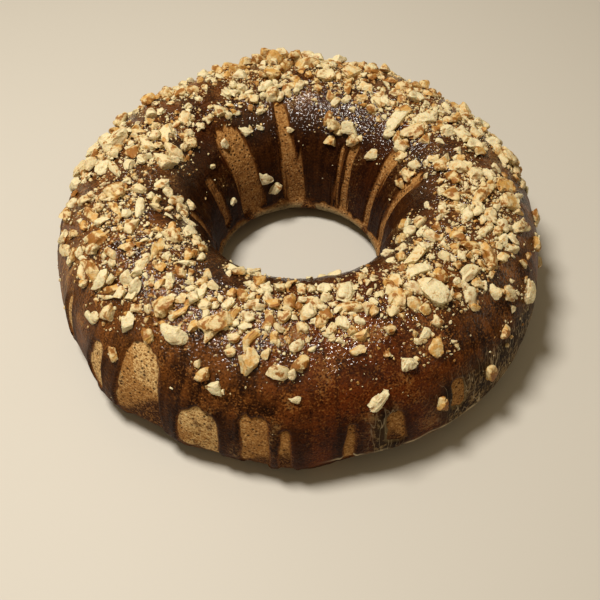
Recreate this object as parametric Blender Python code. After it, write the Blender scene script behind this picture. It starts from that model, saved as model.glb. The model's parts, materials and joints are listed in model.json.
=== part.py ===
"""A ring cake under poured chocolate glaze, topped with chopped walnuts: one solid.

The ring stands on its flat base with its hole along +Z. Angles are in degrees about +Z from +X,
so 270 is the front, 0 the right, 90 the back and 180 the left.
"""

import math
import random

import bmesh
import bpy
from mathutils import Matrix, Vector

MM = 0.001

# The ring's cross-section.
OUTER_RADIUS = 122.0 * MM
OUTER_FOOT_RADIUS = 117.6 * MM
OUTER_FOOT_HEIGHT = 2.2 * MM
WIDEST_HEIGHT = 14.4 * MM
CREST_RADIUS = 76.2 * MM
CREST_HEIGHT = 68.7 * MM
HOLE_RADIUS = 41.8 * MM
HOLE_FOOT_RADIUS = 37.9 * MM
HOLE_FOOT_HEIGHT = 7.2 * MM
BASE_OUTER_RADIUS = 101.0 * MM
BASE_INNER_RADIUS = 60.0 * MM
OUTER_ROUNDING = 2.22
INNER_ROUNDING = 2.21

# How finely the ring is cut.
SECTIONS = 100
OUTER_STEPS = 8
INNER_STEPS = 6
# Steps of the measuring line down each side.
SURFACE_STEPS = 240

# The glaze stands this far above the bare sponge between its runs.
GLAZE_THICKNESS = 0.9 * MM

# Swells and hollows of the outer wall: angle, half width in degrees, size.
WALL_SWELLS = (
    (226, 7, 2.8 * MM),
    (212, 6, -0.8 * MM),
    (239, 3, -0.6 * MM),
    (246, 4, 1.4 * MM),
    (268, 6, 2.2 * MM),
    (281, 4, -0.8 * MM),
    (333, 6, -0.8 * MM),
    (352, 9, -1.4 * MM),
    (28, 12, 1.7 * MM),
    (72, 7, -1.0 * MM),
    (95, 14, 1.0 * MM),
    (130, 9, -1.1 * MM),
    (158, 10, 1.2 * MM),
    (181, 10, 1.0 * MM),
)

# Where the foot of the outer wall curls up off the table: angle, half width, rise.
FOOT_RISES = (
    (288, 9, 5.2 * MM),
    (300, 6, 1.4 * MM),
    (352, 10, 1.4 * MM),
    (207, 7, 0.8 * MM),
    (60, 10, 1.8 * MM),
    (120, 12, 1.3 * MM),
)

# Slow waves round the ring: turns, start in degrees, size.
CREST_WAVES = ((2, 35, 0.7 * MM), (5, 115, 0.45 * MM))
HOLE_WAVES = ((2, 60, 0.6 * MM), (3, 200, 0.5 * MM), (5, 20, 0.3 * MM))
HOLE_FOOT_WAVES = ((3, 10, 0.7 * MM), (8, 70, 0.3 * MM))

# Bare sponge between the glaze runs: low angle, its half width, low height, then the same high up.
OUTER_WINDOWS = (
    (205.0, 2.0, 16 * MM, 206.5, 0.9, 44 * MM),
    (220.5, 3.4, 16 * MM, 221.5, 1.6, 43 * MM),
    (235.0, 6.2, 3 * MM, 234.0, 4.2, 54 * MM),
    (248.8, 5.0, 3 * MM, 248.6, 4.4, 39 * MM),
    (261.2, 3.1, 4 * MM, 261.3, 2.7, 42 * MM),
    (267.6, 1.7, 4 * MM, 267.2, 1.0, 37 * MM),
    (280.0, 1.4, 9 * MM, 281.0, 0.9, 37 * MM),
    (290.9, 2.0, 20 * MM, 290.3, 1.4, 38 * MM),
    (305.5, 2.2, 24 * MM, 305.4, 1.6, 41 * MM),
    (8.0, 3.2, 15 * MM, 9.5, 1.8, 38 * MM),
    (31.0, 4.6, 3 * MM, 29.5, 2.6, 46 * MM),
    (58.0, 2.4, 14 * MM, 58.5, 1.4, 33 * MM),
    (83.0, 5.2, 3 * MM, 84.5, 3.4, 50 * MM),
    (107.0, 3.2, 17 * MM, 106.0, 1.7, 39 * MM),
    (132.0, 4.8, 3 * MM, 133.5, 3.0, 44 * MM),
    (161.0, 2.8, 16 * MM, 160.0, 1.6, 36 * MM),
    (183.0, 3.8, 15 * MM, 184.0, 2.2, 42 * MM),
)
INNER_WINDOWS = (
    (127.0, 11.0, 13 * MM, 132.3, 7.6, 63 * MM),
    (92.5, 8.8, 12 * MM, 100.5, 2.5, 65 * MM),
    (62.0, 1.6, 14 * MM, 62.5, 1.0, 50 * MM),
    (54.5, 4.0, 12 * MM, 55.5, 2.8, 54 * MM),
    (32.0, 3.4, 12 * MM, 29.0, 3.2, 62 * MM),
    (9.0, 5.6, 13 * MM, 7.0, 2.4, 63 * MM),
    (153.5, 4.4, 18 * MM, 159.5, 2.2, 52 * MM),
    (188.0, 5.2, 14 * MM, 191.0, 2.6, 56 * MM),
    (224.0, 3.4, 14 * MM, 222.0, 2.2, 48 * MM),
    (253.0, 6.0, 13 * MM, 250.0, 3.4, 58 * MM),
    (287.0, 3.6, 15 * MM, 288.0, 2.0, 50 * MM),
    (318.0, 5.0, 14 * MM, 322.0, 2.8, 57 * MM),
    (345.0, 2.8, 14 * MM, 344.0, 1.8, 44 * MM),
)

# The walnut pieces that stand out: angle, way out from the crest, length, width, height, turn,
# with the four distances in millimetres.
MARKED_NUTS = (
    (249, 17, 15, 9.5, 7, 40), (233, 19, 10.5, 8, 6, 80), (258.5, 28, 11, 8.5, 5.5, 100),
    (239.5, 27, 12, 8, 5.5, 20), (233.5, 33, 7, 5, 4, 140), (221, 38, 10, 7, 5, 60),
    (227, 34, 9, 7, 5, 110), (265.5, 31, 9.5, 6.5, 4.5, 10), (270.5, 27, 7.5, 6, 4.5, 70),
    (252.5, 42, 7.5, 6, 4, 150), (269.5, 42, 4.5, 3.6, 2.6, 30), (287, 47, 10.5, 6.5, 5, 35),
    (301, 61, 7.5, 5, 4.5, 95), (295, 35, 7.5, 5.5, 4, 0), (315, 63, 8.5, 6.5, 5, 120),
    (322, 50, 6.5, 5, 4, 45), (335, 50, 10.5, 7.5, 5.5, 30), (328, 38, 8, 6, 4.5, 85),
    (310, 14, 14, 11, 6.5, 120), (349, 47, 7.5, 5.5, 4.5, 60), (117, -53, 9.5, 6, 4, 130),
    (109.5, -62, 8, 6, 4, 50), (146.5, -56, 4, 3.4, 2.6, 0), (61.5, -25, 9, 7, 5.5, 15),
    (57, -30, 8, 6, 4.5, 75), (41.5, -11, 13, 6, 5, 100), (88, 16, 12, 8, 6.5, 25),
    (187, 10, 9.8, 9.8, 5.9, 117), (187, -1, 6.1, 6.0, 4.2, 128), (196, 0, 13.3, 4.5, 3.1, 175),
    (194, 11, 10.7, 3.8, 2.7, 21), (192, 24, 12.0, 5.1, 3.1, 29), (185, 27, 9.8, 5.3, 3.7, 73),
    (191, -18, 10.0, 6.1, 3.7, 156), (199, -21, 5.1, 4.7, 3.3, 13), (215, -8, 7.8, 7.3, 5.1, 86),
    (214, -17, 8.7, 6.2, 4.3, 124), (217, 2, 10.5, 5.7, 4.0, 133), (219, 11, 6.9, 4.9, 2.9, 82),
    (202, 23, 9.6, 8.0, 5.2, 95), (194, 36, 6.0, 4.7, 3.3, 47), (196, 43, 11.3, 6.0, 4.2, 31),
    (209, 32, 10.2, 6.3, 3.8, 2), (207, 37, 10.3, 4.7, 3.7, 148), (214, 30, 11.1, 6.1, 4.6, 102),
    (218, 29, 7.9, 4.0, 2.8, 56), (221, 27, 6.0, 4.9, 3.4, 100), (218, 33, 9.7, 2.2, 2.2, 39),
    (224, 24, 5.1, 4.6, 3.2, 101), (236, 13, 5.9, 4.8, 2.9, 77), (238, 18, 9.1, 3.0, 2.4, 65),
    (230, 3, 5.1, 5.1, 3.6, 41), (224, 7, 5.1, 5.1, 3.1, 68), (228, -2, 6.9, 2.9, 2.6, 46),
    (226, -10, 6.7, 3.3, 2.3, 121), (238, 1, 6.6, 4.1, 2.9, 82), (240, 6, 7.0, 4.5, 3.1, 71),
    (258, 19, 10.2, 5.5, 3.3, 52), (262, 2, 5.9, 5.3, 3.7, 20), (262, 9, 7.6, 4.1, 2.5, 98),
    (266, 8, 5.4, 5.4, 3.8, 4), (256, 10, 5.8, 5.7, 4.0, 13), (256, 3, 6.7, 5.2, 3.1, 72),
    (252, 10, 7.9, 4.1, 2.9, 72), (249, 6, 6.6, 4.5, 3.1, 87), (252, 0, 5.9, 5.9, 3.5, 19),
    (255, -11, 5.7, 5.7, 4.0, 24), (263, -8, 5.1, 5.1, 3.6, 9), (271, -8, 7.3, 4.2, 2.9, 101),
    (279, -7, 5.9, 5.9, 4.1, 169), (275, 1, 8.0, 6.9, 4.1, 8), (276, 10, 6.0, 4.9, 2.9, 84),
    (282, 12, 6.2, 6.2, 4.0, 170), (279, 14, 6.2, 4.5, 2.7, 53), (286, -4, 12.3, 7.6, 4.2, 72),
    (285, 5, 11.5, 6.1, 3.7, 179), (286, 18, 6.7, 6.0, 3.9, 168), (271, 12, 5.3, 5.3, 3.2, 179),
    (351, -4, 8.8, 7.6, 4.6, 65), (353, 9, 17.3, 6.8, 4.4, 152), (359, 22, 11.3, 8.0, 4.8, 117),
    (353, 23, 8.7, 8.0, 5.6, 120), (345, 14, 9.2, 6.7, 4.0, 17), (344, 21, 7.3, 6.7, 4.7, 75),
    (348, 31, 13.3, 6.9, 4.1, 134), (339, 14, 9.2, 4.1, 2.5, 161), (332, 20, 13.5, 5.9, 4.7, 60),
    (328, -6, 7.2, 7.2, 4.3, 133), (332, 4, 7.5, 5.9, 4.1, 107), (331, 10, 9.0, 5.1, 3.6, 113),
    (316, -5, 15.1, 5.8, 3.8, 13), (312, 1, 11.9, 6.3, 3.1, 175), (316, 9, 7.9, 7.0, 3.5, 89),
    (323, 17, 11.4, 6.1, 3.7, 172), (322, 23, 6.7, 5.2, 3.6, 139), (318, 24, 8.4, 7.4, 3.7, 101),
    (306, 7, 8.7, 6.3, 3.8, 148), (14, -24, 10.0, 6.3, 3.8, 10), (34, 1, 13.1, 6.7, 4.7, 78),
    (32, -10, 12.4, 9.5, 5.2, 56), (53, -5, 6.7, 6.7, 4.0, 32), (52, 12, 8.1, 8.0, 5.6, 54),
    (31, 17, 10.0, 6.0, 4.2, 105), (25, 5, 7.6, 7.6, 4.6, 70), (16, 12, 7.9, 7.9, 5.5, 90),
    (5, 0, 8.0, 8.0, 4.8, 99), (10, -6, 7.8, 6.0, 4.2, 98), (2, 7, 7.5, 7.5, 5.2, 95),
    (14, 34, 14.0, 12.0, 7.2, 123), (14, 40, 8.7, 7.3, 5.9, 133), (20, 30, 8.7, 8.0, 5.6, 118),
    (99, 26, 10.5, 9.0, 11.0, 131), (95, 13, 12.7, 5.3, 5.3, 73), (91, 27, 7.8, 6.8, 9.5, 160),
    (86, 23, 11.3, 6.0, 5.4, 114), (101, 5, 9.3, 8.0, 6.4, 135), (111, 20, 9.9, 6.7, 6.0, 130),
    (80, 3, 9.5, 8.7, 6.1, 7), (103, -9, 8.7, 6.8, 5.4, 78), (96, -8, 7.6, 4.7, 3.3, 123),
    (70, -3, 12.0, 3.7, 3.0, 101), (55, -6, 10.0, 6.7, 4.0, 122), (75, -23, 8.1, 4.2, 2.9, 88),
    (110, -17, 5.5, 4.1, 2.9, 36), (112, -10, 5.8, 5.4, 3.8, 165), (163, 20, 13.5, 12.0, 7.8, 108),
    (170, -9, 12.1, 8.7, 5.6, 77), (154, -3, 12.0, 7.9, 4.7, 31), (168, 7, 9.3, 6.1, 4.3, 6),
    (163, 3, 13.1, 5.5, 3.8, 58), (162, -12, 12.5, 5.2, 4.2, 89), (153, -16, 7.2, 6.8, 4.8, 138),
    (144, -4, 9.3, 6.0, 4.2, 41), (148, 13, 7.7, 7.7, 5.4, 104), (168, 42, 13.3, 10.0, 6.0, 52),
    (162, 38, 10.0, 9.3, 5.6, 45), (174, 20, 10.0, 8.0, 4.8, 16), (176, 13, 13.3, 3.8, 3.0, 31),
    (116, 26, 8.0, 6.7, 5.3, 95), (122, -25, 7.5, 4.7, 3.3, 143), (142, -13, 4.7, 4.7, 3.3, 145),
)

# The other pieces, largest first.
NUT_COUNT = 240
NUT_SEED = 11
NUT_LARGEST = 8.0 * MM
NUT_SMALLEST = 3.4 * MM
NUT_RUN = 230.0
NUT_SPACING = 0.46
NUT_INNERMOST = -42 * MM
NUT_OUTERMOST = 74 * MM
NUT_BAND_INSIDE = 7 * MM
NUT_FADE_INSIDE = 10 * MM
NUT_SINK = 0.34
# Corners, height and reach of a chunk's low ring and of its high one.
NUT_RINGS = ((5, -NUT_SINK, 1.0), (4, 1 - NUT_SINK, 0.66))

GLAZE_COLOUR = (0.060, 0.020, 0.008, 1.0)
SPONGE_COLOUR = (0.330, 0.170, 0.060, 1.0)
WALNUT_COLOUR = (0.800, 0.600, 0.280, 1.0)


def rounded(radius_from, radius_to, low, high, rounding, share):
    """A point of a superellipse's quarter: share 0 is its foot, share 1 its crest."""
    angle = share * math.pi / 2
    across = max(math.cos(angle), 0.0) ** (2 / rounding)
    up = math.sin(angle) ** (2 / rounding)
    return radius_to + (radius_from - radius_to) * across, low + (high - low) * up


def outer_side(share):
    """The glazed outside, from the widest place to the crest."""
    return rounded(OUTER_RADIUS, CREST_RADIUS, WIDEST_HEIGHT, CREST_HEIGHT, OUTER_ROUNDING, share)


def inner_side(share):
    """The wall of the hole, from its lower edge to the crest."""
    return rounded(HOLE_RADIUS, CREST_RADIUS, WIDEST_HEIGHT, CREST_HEIGHT, INNER_ROUNDING, share)


def profile():
    """The cross-section as (radius, height) points, from the base out, up and over to the hole."""
    points = [(BASE_INNER_RADIUS, 0.0), (BASE_OUTER_RADIUS, 0.0)]
    points.append((OUTER_FOOT_RADIUS, OUTER_FOOT_HEIGHT))
    points += [outer_side(step / OUTER_STEPS) for step in range(OUTER_STEPS)]
    points += [inner_side(1 - step / INNER_STEPS) for step in range(INNER_STEPS + 1)]
    points.append((HOLE_FOOT_RADIUS, HOLE_FOOT_HEIGHT))
    return points


def measured_side(side):
    """One side from the crest down, as (distance along it, radius, height) points."""
    found = [(0.0, *side(1.0))]
    for step in range(1, SURFACE_STEPS + 1):
        radius, height = side(1 - step / SURFACE_STEPS)
        gone, last_radius, last_height = found[-1]
        found.append((gone + math.hypot(radius - last_radius, height - last_height), radius, height))
    return found


OUTSIDE = measured_side(outer_side)
INSIDE = measured_side(inner_side)


def place_on_side(way_out):
    """Radius and height at that distance from the crest: above 0 outside, below 0 in the hole."""
    points = OUTSIDE if way_out >= 0 else INSIDE
    target = abs(way_out)
    for (near, r0, z0), (far, r1, z1) in zip(points, points[1:]):
        if target <= far:
            share = (target - near) / (far - near)
            return r0 + (r1 - r0) * share, z0 + (z1 - z0) * share
    return points[-1][1:]


def on_even_ring(angle, way_out):
    """A point on the ring before it is made uneven."""
    radius, height = place_on_side(way_out)
    turned = math.radians(angle)
    return radius * math.cos(turned), radius * math.sin(turned), height


def turn_between(angle, centre):
    """The angle from centre, from -180 to 180 degrees."""
    return (angle - centre + 180) % 360 - 180


def hills(angle, rows):
    """The sum of smooth hills, each given by its angle, half width and size."""
    return sum(size * math.exp(-((turn_between(angle, at) / wide) ** 2)) for at, wide, size in rows)


def waves(angle, rows):
    """The sum of sine waves round the ring."""
    return sum(size * math.sin(math.radians(turns * angle + start)) for turns, start, size in rows)


def ease(low, high, value):
    """0 up to low, 1 from high on, and smooth between."""
    share = min(max((value - low) / (high - low), 0.0), 1.0)
    return share * share * (3 - 2 * share)


def bare(angle, height, windows):
    """How bare of glaze a place on a wall is, from 0 to 1."""
    most = 0.0
    for low_at, low_half, low, high_at, high_half, high in windows:
        share = min(max((height - low) / (high - low), 0.0), 1.0)
        half = low_half + (high_half - low_half) * share
        centre = low_at + (high_at - low_at) * share
        sideways = 1 - ease(half * 0.8, half * 1.25, abs(turn_between(angle, centre)))
        upright = ease(low - 4 * MM, low, height) * (1 - ease(high - 3 * MM, high + 2 * MM, height))
        most = max(most, sideways * upright)
    return most


def settled(radius, angle, height):
    """Where a point of the turned ring comes to lie on the real, uneven cake."""
    outside = radius >= CREST_RADIUS
    if outside:
        low_down = 1 - ease(20 * MM, 58 * MM, height)
        on_wall = ease(BASE_OUTER_RADIUS, OUTER_FOOT_RADIUS, radius)
        radius += hills(angle, WALL_SWELLS) * low_down * on_wall
        at_foot = (1 - ease(OUTER_FOOT_HEIGHT, WIDEST_HEIGHT + 6 * MM, height)) * on_wall
        lifted = height + hills(angle, FOOT_RISES) * at_foot
        radius -= GLAZE_THICKNESS * bare(angle, height, OUTER_WINDOWS)
    else:
        low_down = 1 - ease(45 * MM, 64 * MM, height)
        on_wall = 1 - ease(HOLE_RADIUS + 8 * MM, BASE_INNER_RADIUS, radius)
        above_base = ease(0.0, HOLE_FOOT_HEIGHT, height)
        radius += waves(angle, HOLE_WAVES) * low_down * on_wall * above_base
        at_foot = (1 - ease(HOLE_FOOT_HEIGHT, WIDEST_HEIGHT, height)) * above_base
        lifted = height + waves(angle, HOLE_FOOT_WAVES) * at_foot
        radius += GLAZE_THICKNESS * bare(angle, height, INNER_WINDOWS)
    lifted += waves(angle, CREST_WAVES) * ease(20 * MM, CREST_HEIGHT, height)
    turned = math.radians(angle)
    return Vector((radius * math.cos(turned), radius * math.sin(turned), lifted))


def on_cake(angle, way_out):
    """A point on the cake's surface."""
    radius, height = place_on_side(way_out)
    return settled(radius, angle, height)


def standing_on_cake(angle, way_out):
    """The place and axes of a thing lying on the cake: X round the ring, Z straight off it."""
    round_ring = (on_cake(angle + 0.5, way_out) - on_cake(angle - 0.5, way_out)).normalized()
    outwards = on_cake(angle, way_out + 0.5 * MM) - on_cake(angle, way_out - 0.5 * MM)
    off = outwards.cross(round_ring).normalized()
    axes = Matrix((round_ring, off.cross(round_ring), off)).transposed()
    return Matrix.Translation(on_cake(angle, way_out)) @ axes.to_4x4()


def nut_share(angle, way_out):
    """How thickly nuts lie at a place on the cake, from 0 to 1."""
    backward = ((1 + math.sin(math.radians(angle))) / 2) ** 1.5
    sideways = math.cos(math.radians(angle)) ** 2
    edge = (17 + 15 * backward) * MM
    fade = (6 + 9 * sideways + 8 * backward) * MM
    if way_out > edge:
        return math.exp((edge - way_out) / fade)
    if way_out < -NUT_BAND_INSIDE:
        return math.exp((way_out + NUT_BAND_INSIDE) / NUT_FADE_INSIDE)
    return 1.0


def nut_places(count):
    """The nuts, marked ones first: angle, way out, length, width, height, turn, tilt, seed."""
    draw = random.Random(NUT_SEED)
    nuts = []
    for angle, way_out, length, width, height, turn in MARKED_NUTS:
        sizes = (way_out * MM, length * MM, width * MM, height * MM)
        nuts.append((angle, *sizes, turn, 0.0, len(nuts)))
    centres = [(on_even_ring(nut[0], nut[1]), nut[2]) for nut in nuts]
    while len(nuts) < count:
        rank = len(nuts) - len(MARKED_NUTS)
        angle = draw.uniform(0, 360)
        way_out = draw.uniform(NUT_INNERMOST, NUT_OUTERMOST)
        stretch = place_on_side(way_out)[0] / OUTER_RADIUS
        shrink = math.exp(-rank / NUT_RUN)
        length = (NUT_SMALLEST + (NUT_LARGEST - NUT_SMALLEST) * shrink) * draw.uniform(0.85, 1.15)
        width = length * draw.uniform(0.55, 0.9)
        height = width * draw.uniform(0.6, 0.85)
        turn = draw.uniform(0, 180)
        tilt = draw.uniform(-20, 20)
        if draw.random() > nut_share(angle, way_out) * stretch:
            continue
        here = on_even_ring(angle, way_out)
        if any(math.dist(here, other) < NUT_SPACING * (length + size) for other, size in centres):
            continue
        nuts.append((angle, way_out, length, width, height, turn, tilt, len(nuts)))
        centres.append((here, length))
    return nuts


def material(name, colour, roughness):
    """A Principled material for one of the cake's surfaces."""
    made = bpy.data.materials.new(name)
    made.use_nodes = True
    shader = made.node_tree.nodes["Principled BSDF"]
    shader.inputs["Base Color"].default_value = colour
    shader.inputs["Roughness"].default_value = roughness
    shader.inputs["Metallic"].default_value = 0.0
    made.diffuse_color = colour
    return made


def is_sponge(centre):
    """Whether a face of the turned ring is bare sponge: a window between runs, or the base."""
    radius = math.hypot(centre.x, centre.y)
    angle = math.degrees(math.atan2(centre.y, centre.x)) % 360
    windows = OUTER_WINDOWS if radius >= CREST_RADIUS else INNER_WINDOWS
    return centre.z < HOLE_FOOT_HEIGHT or bare(angle, centre.z, windows) > 0.5


def spun_ring(glaze, sponge):
    """The cake itself: the cross-section spun round the hole's axis, then made uneven."""
    shape = bmesh.new()
    corners = [shape.verts.new((radius, 0.0, height)) for radius, height in profile()]
    edges = [shape.edges.new(pair) for pair in zip(corners, corners[1:] + corners[:1])]
    bmesh.ops.spin(
        shape,
        geom=corners + edges,
        cent=(0, 0, 0),
        axis=(0, 0, 1),
        angle=math.tau,
        steps=SECTIONS,
        use_merge=True,
    )
    bmesh.ops.remove_doubles(shape, verts=shape.verts, dist=0.01 * MM)
    bmesh.ops.recalc_face_normals(shape, faces=shape.faces)
    for face in shape.faces:
        face.material_index = int(is_sponge(face.calc_center_median()))
    for corner in shape.verts:
        radius = math.hypot(corner.co.x, corner.co.y)
        angle = math.degrees(math.atan2(corner.co.y, corner.co.x)) % 360
        corner.co = settled(radius, angle, corner.co.z)
    mesh = bpy.data.meshes.new("ring_cake")
    shape.to_mesh(mesh)
    shape.free()
    mesh.materials.append(glaze)
    mesh.materials.append(sponge)
    ring = bpy.data.objects.new("ring_cake", mesh)
    bpy.context.scene.collection.objects.link(ring)
    return ring


def chopped_nut(nut, walnut, collection):
    """One chunk of walnut: an uneven low ring and a smaller high one, skinned over."""
    angle, way_out, length, width, height, turn, tilt, seed = nut
    draw = random.Random(1000 + seed)
    shape = bmesh.new()
    for corners, level, reach in NUT_RINGS:
        start = draw.uniform(0, 360 / corners)
        for corner in range(corners):
            around = math.radians(start + corner * 360 / corners + draw.uniform(-14, 14))
            out = 0.5 * reach * draw.uniform(0.82, 1.08)
            up = level + draw.uniform(-0.12, 0.12)
            shape.verts.new((out * math.cos(around), out * math.sin(around), up))
    bmesh.ops.convex_hull(shape, input=shape.verts)
    bmesh.ops.scale(shape, vec=(length, width, height), verts=shape.verts)
    lean = Matrix.Rotation(math.radians(tilt), 4, "Y")
    spin = Matrix.Rotation(math.radians(turn), 4, "Z")
    place = standing_on_cake(angle, way_out) @ spin @ lean
    bmesh.ops.transform(shape, matrix=place, verts=shape.verts)
    bmesh.ops.recalc_face_normals(shape, faces=shape.faces)
    mesh = bpy.data.meshes.new("walnut_chunk")
    shape.to_mesh(mesh)
    shape.free()
    mesh.materials.append(walnut)
    collection.objects.link(bpy.data.objects.new("walnut_chunk", mesh))


def keep_largest_body(mesh):
    """Drops any scrap that isn't joined to the cake."""
    shape = bmesh.new()
    shape.from_mesh(mesh)
    left = set(shape.verts)
    bodies = []
    while left:
        reached = [left.pop()]
        body = set(reached)
        while reached:
            corner = reached.pop()
            for edge in corner.link_edges:
                other = edge.other_vert(corner)
                if other in left:
                    left.remove(other)
                    body.add(other)
                    reached.append(other)
        bodies.append(body)
    largest = max(bodies, key=len)
    scraps = [corner for body in bodies if body is not largest for corner in body]
    bmesh.ops.delete(shape, geom=scraps, context="VERTS")
    shape.to_mesh(mesh)
    shape.free()


def fuse(ring, collection):
    """Joins the collection's pieces to the ring in one union, then removes them."""
    union = ring.modifiers.new("walnuts", "BOOLEAN")
    union.operation = "UNION"
    union.operand_type = "COLLECTION"
    union.collection = collection
    union.solver = "EXACT"
    union.material_mode = "TRANSFER"
    bpy.context.view_layer.update()
    seen = ring.evaluated_get(bpy.context.evaluated_depsgraph_get())
    joined = bpy.data.meshes.new_from_object(seen)
    ring.modifiers.clear()
    ring.data = joined
    for piece in list(collection.objects):
        bpy.data.objects.remove(piece)
    bpy.data.collections.remove(collection)
    keep_largest_body(ring.data)


def main():
    for old in list(bpy.data.objects):
        bpy.data.objects.remove(old)
    glaze = material("chocolate_glaze", GLAZE_COLOUR, 0.25)
    sponge = material("sponge", SPONGE_COLOUR, 0.85)
    walnut = material("walnut", WALNUT_COLOUR, 0.6)
    ring = spun_ring(glaze, sponge)
    chunks = bpy.data.collections.new("walnut_chunks")
    bpy.context.scene.collection.children.link(chunks)
    for nut in nut_places(NUT_COUNT):
        chopped_nut(nut, walnut, chunks)
    fuse(ring, chunks)
    ring.data.set_sharp_from_angle(angle=math.radians(35))


main()
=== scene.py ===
# %% [markdown]
# # A ring cake under chocolate glaze, topped with chopped walnuts
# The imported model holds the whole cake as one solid, which is right for weighing and stacking it.
# Here it gets its looks: a sponge with an open crumb, a coat of glaze that has run down the walls
# in streaks, and walnuts from chunks to crumbs. Every piece is laid on one ring, so they all fit.

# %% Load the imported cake
import itertools
import json
import math
import random

import bmesh
import bpy
import numpy as np
from mathutils import Matrix, Vector

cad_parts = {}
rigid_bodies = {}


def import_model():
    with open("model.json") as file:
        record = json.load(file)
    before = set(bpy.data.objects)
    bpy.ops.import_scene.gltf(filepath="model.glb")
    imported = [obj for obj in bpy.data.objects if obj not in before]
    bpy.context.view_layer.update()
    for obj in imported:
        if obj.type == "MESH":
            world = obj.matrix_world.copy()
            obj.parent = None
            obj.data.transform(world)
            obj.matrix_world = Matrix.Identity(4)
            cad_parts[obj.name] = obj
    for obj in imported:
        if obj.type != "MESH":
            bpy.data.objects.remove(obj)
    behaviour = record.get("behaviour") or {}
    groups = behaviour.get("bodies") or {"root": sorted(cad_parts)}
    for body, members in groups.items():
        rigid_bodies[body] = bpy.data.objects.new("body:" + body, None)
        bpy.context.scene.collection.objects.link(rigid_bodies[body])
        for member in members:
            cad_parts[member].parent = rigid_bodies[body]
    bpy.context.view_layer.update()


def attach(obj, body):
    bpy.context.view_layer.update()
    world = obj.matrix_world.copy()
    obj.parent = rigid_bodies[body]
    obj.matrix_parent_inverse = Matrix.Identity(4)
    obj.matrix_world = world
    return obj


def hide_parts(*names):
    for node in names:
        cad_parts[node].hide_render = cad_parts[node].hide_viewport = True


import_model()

# %% [markdown]
# ## The ring
# A ring pan turns out a cake whose section is fuller than a circle: a superellipse. The same
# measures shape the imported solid. Distances along the surface are counted from the crest, above 0
# outside and below 0 in the hole, because glaze and nuts both care how far down the side they are.
# Angles are in degrees round the hole: 270 is the front, 0 the right, 90 the back.

# %% The ring's measures
MM = 0.001
OUTER_RADIUS = 122.0 * MM
OUTER_FOOT_RADIUS = 117.6 * MM
OUTER_FOOT_HEIGHT = 2.2 * MM
WIDEST_HEIGHT = 14.4 * MM
CREST_RADIUS = 76.2 * MM
CREST_HEIGHT = 68.7 * MM
HOLE_RADIUS = 41.8 * MM
HOLE_FOOT_RADIUS = 37.9 * MM
HOLE_FOOT_HEIGHT = 7.2 * MM
BASE_OUTER_RADIUS = 101.0 * MM
BASE_INNER_RADIUS = 60.0 * MM
OUTER_ROUNDING = 2.22
INNER_ROUNDING = 2.21
SURFACE_STEPS = 240
GLAZE_THICKNESS = 0.9 * MM

# Angle, half width in degrees, size: where the outer wall swells, and where its foot curls up.
WALL_SWELLS = (
    (226, 7, 2.8 * MM), (212, 6, -0.8 * MM), (239, 3, -0.6 * MM), (246, 4, 1.4 * MM),
    (268, 6, 2.2 * MM), (281, 4, -0.8 * MM), (333, 6, -0.8 * MM), (352, 9, -1.4 * MM),
    (28, 12, 1.7 * MM), (72, 7, -1.0 * MM), (95, 14, 1.0 * MM), (130, 9, -1.1 * MM),
    (158, 10, 1.2 * MM), (181, 10, 1.0 * MM),
)
FOOT_RISES = (
    (288, 9, 5.2 * MM), (300, 6, 1.4 * MM), (352, 10, 1.4 * MM),
    (207, 7, 0.8 * MM), (60, 10, 1.8 * MM), (120, 12, 1.3 * MM),
)
# Turns round the ring, start in degrees, size.
CREST_WAVES = ((2, 35, 0.7 * MM), (5, 115, 0.45 * MM))
HOLE_WAVES = ((2, 60, 0.6 * MM), (3, 200, 0.5 * MM), (5, 20, 0.3 * MM))
HOLE_FOOT_WAVES = ((3, 10, 0.7 * MM), (8, 70, 0.3 * MM))


# %% The section of the ring
def rounded(foot_radius, rounding, share):
    """A point of a superellipse's quarter: share 0 is its foot, share 1 the crest."""
    angle = share * math.pi / 2
    across = max(math.cos(angle), 0.0) ** (2 / rounding)
    up = math.sin(angle) ** (2 / rounding)
    radius = CREST_RADIUS + (foot_radius - CREST_RADIUS) * across
    return radius, WIDEST_HEIGHT + (CREST_HEIGHT - WIDEST_HEIGHT) * up


def measured_side(foot_radius, rounding):
    """One side from the crest down, as (distance along it, radius, height) points."""
    found = [(0.0, *rounded(foot_radius, rounding, 1.0))]
    for step in range(1, SURFACE_STEPS + 1):
        radius, height = rounded(foot_radius, rounding, 1 - step / SURFACE_STEPS)
        gone, last_radius, last_height = found[-1]
        found.append((gone + math.hypot(radius - last_radius, height - last_height), radius, height))
    return found


def soft_corners(points, times=4):
    """The line through the points with its corners cut again and again, which rounds them."""
    line = np.array(points)
    for _ in range(times):
        inner = np.stack((0.75 * line[:-1] + 0.25 * line[1:], 0.25 * line[:-1] + 0.75 * line[1:]), 1)
        line = np.vstack((line[:1], inner.reshape(-1, 2), line[-1:]))
    return line


def whole_side(side, foot, base, sign):
    """A side with its foot and its half of the base: signed distance, radius, height."""
    wall = np.array(side)[:, 1:]
    middle = ((BASE_OUTER_RADIUS + BASE_INNER_RADIUS) / 2, 0.0)
    line = np.vstack((wall[:-1], soft_corners([wall[-1], foot, base, middle])))
    gone = np.concatenate(([0.0], np.cumsum(np.hypot(*np.diff(line, axis=0).T))))
    return np.column_stack((sign * gone, line))


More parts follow.
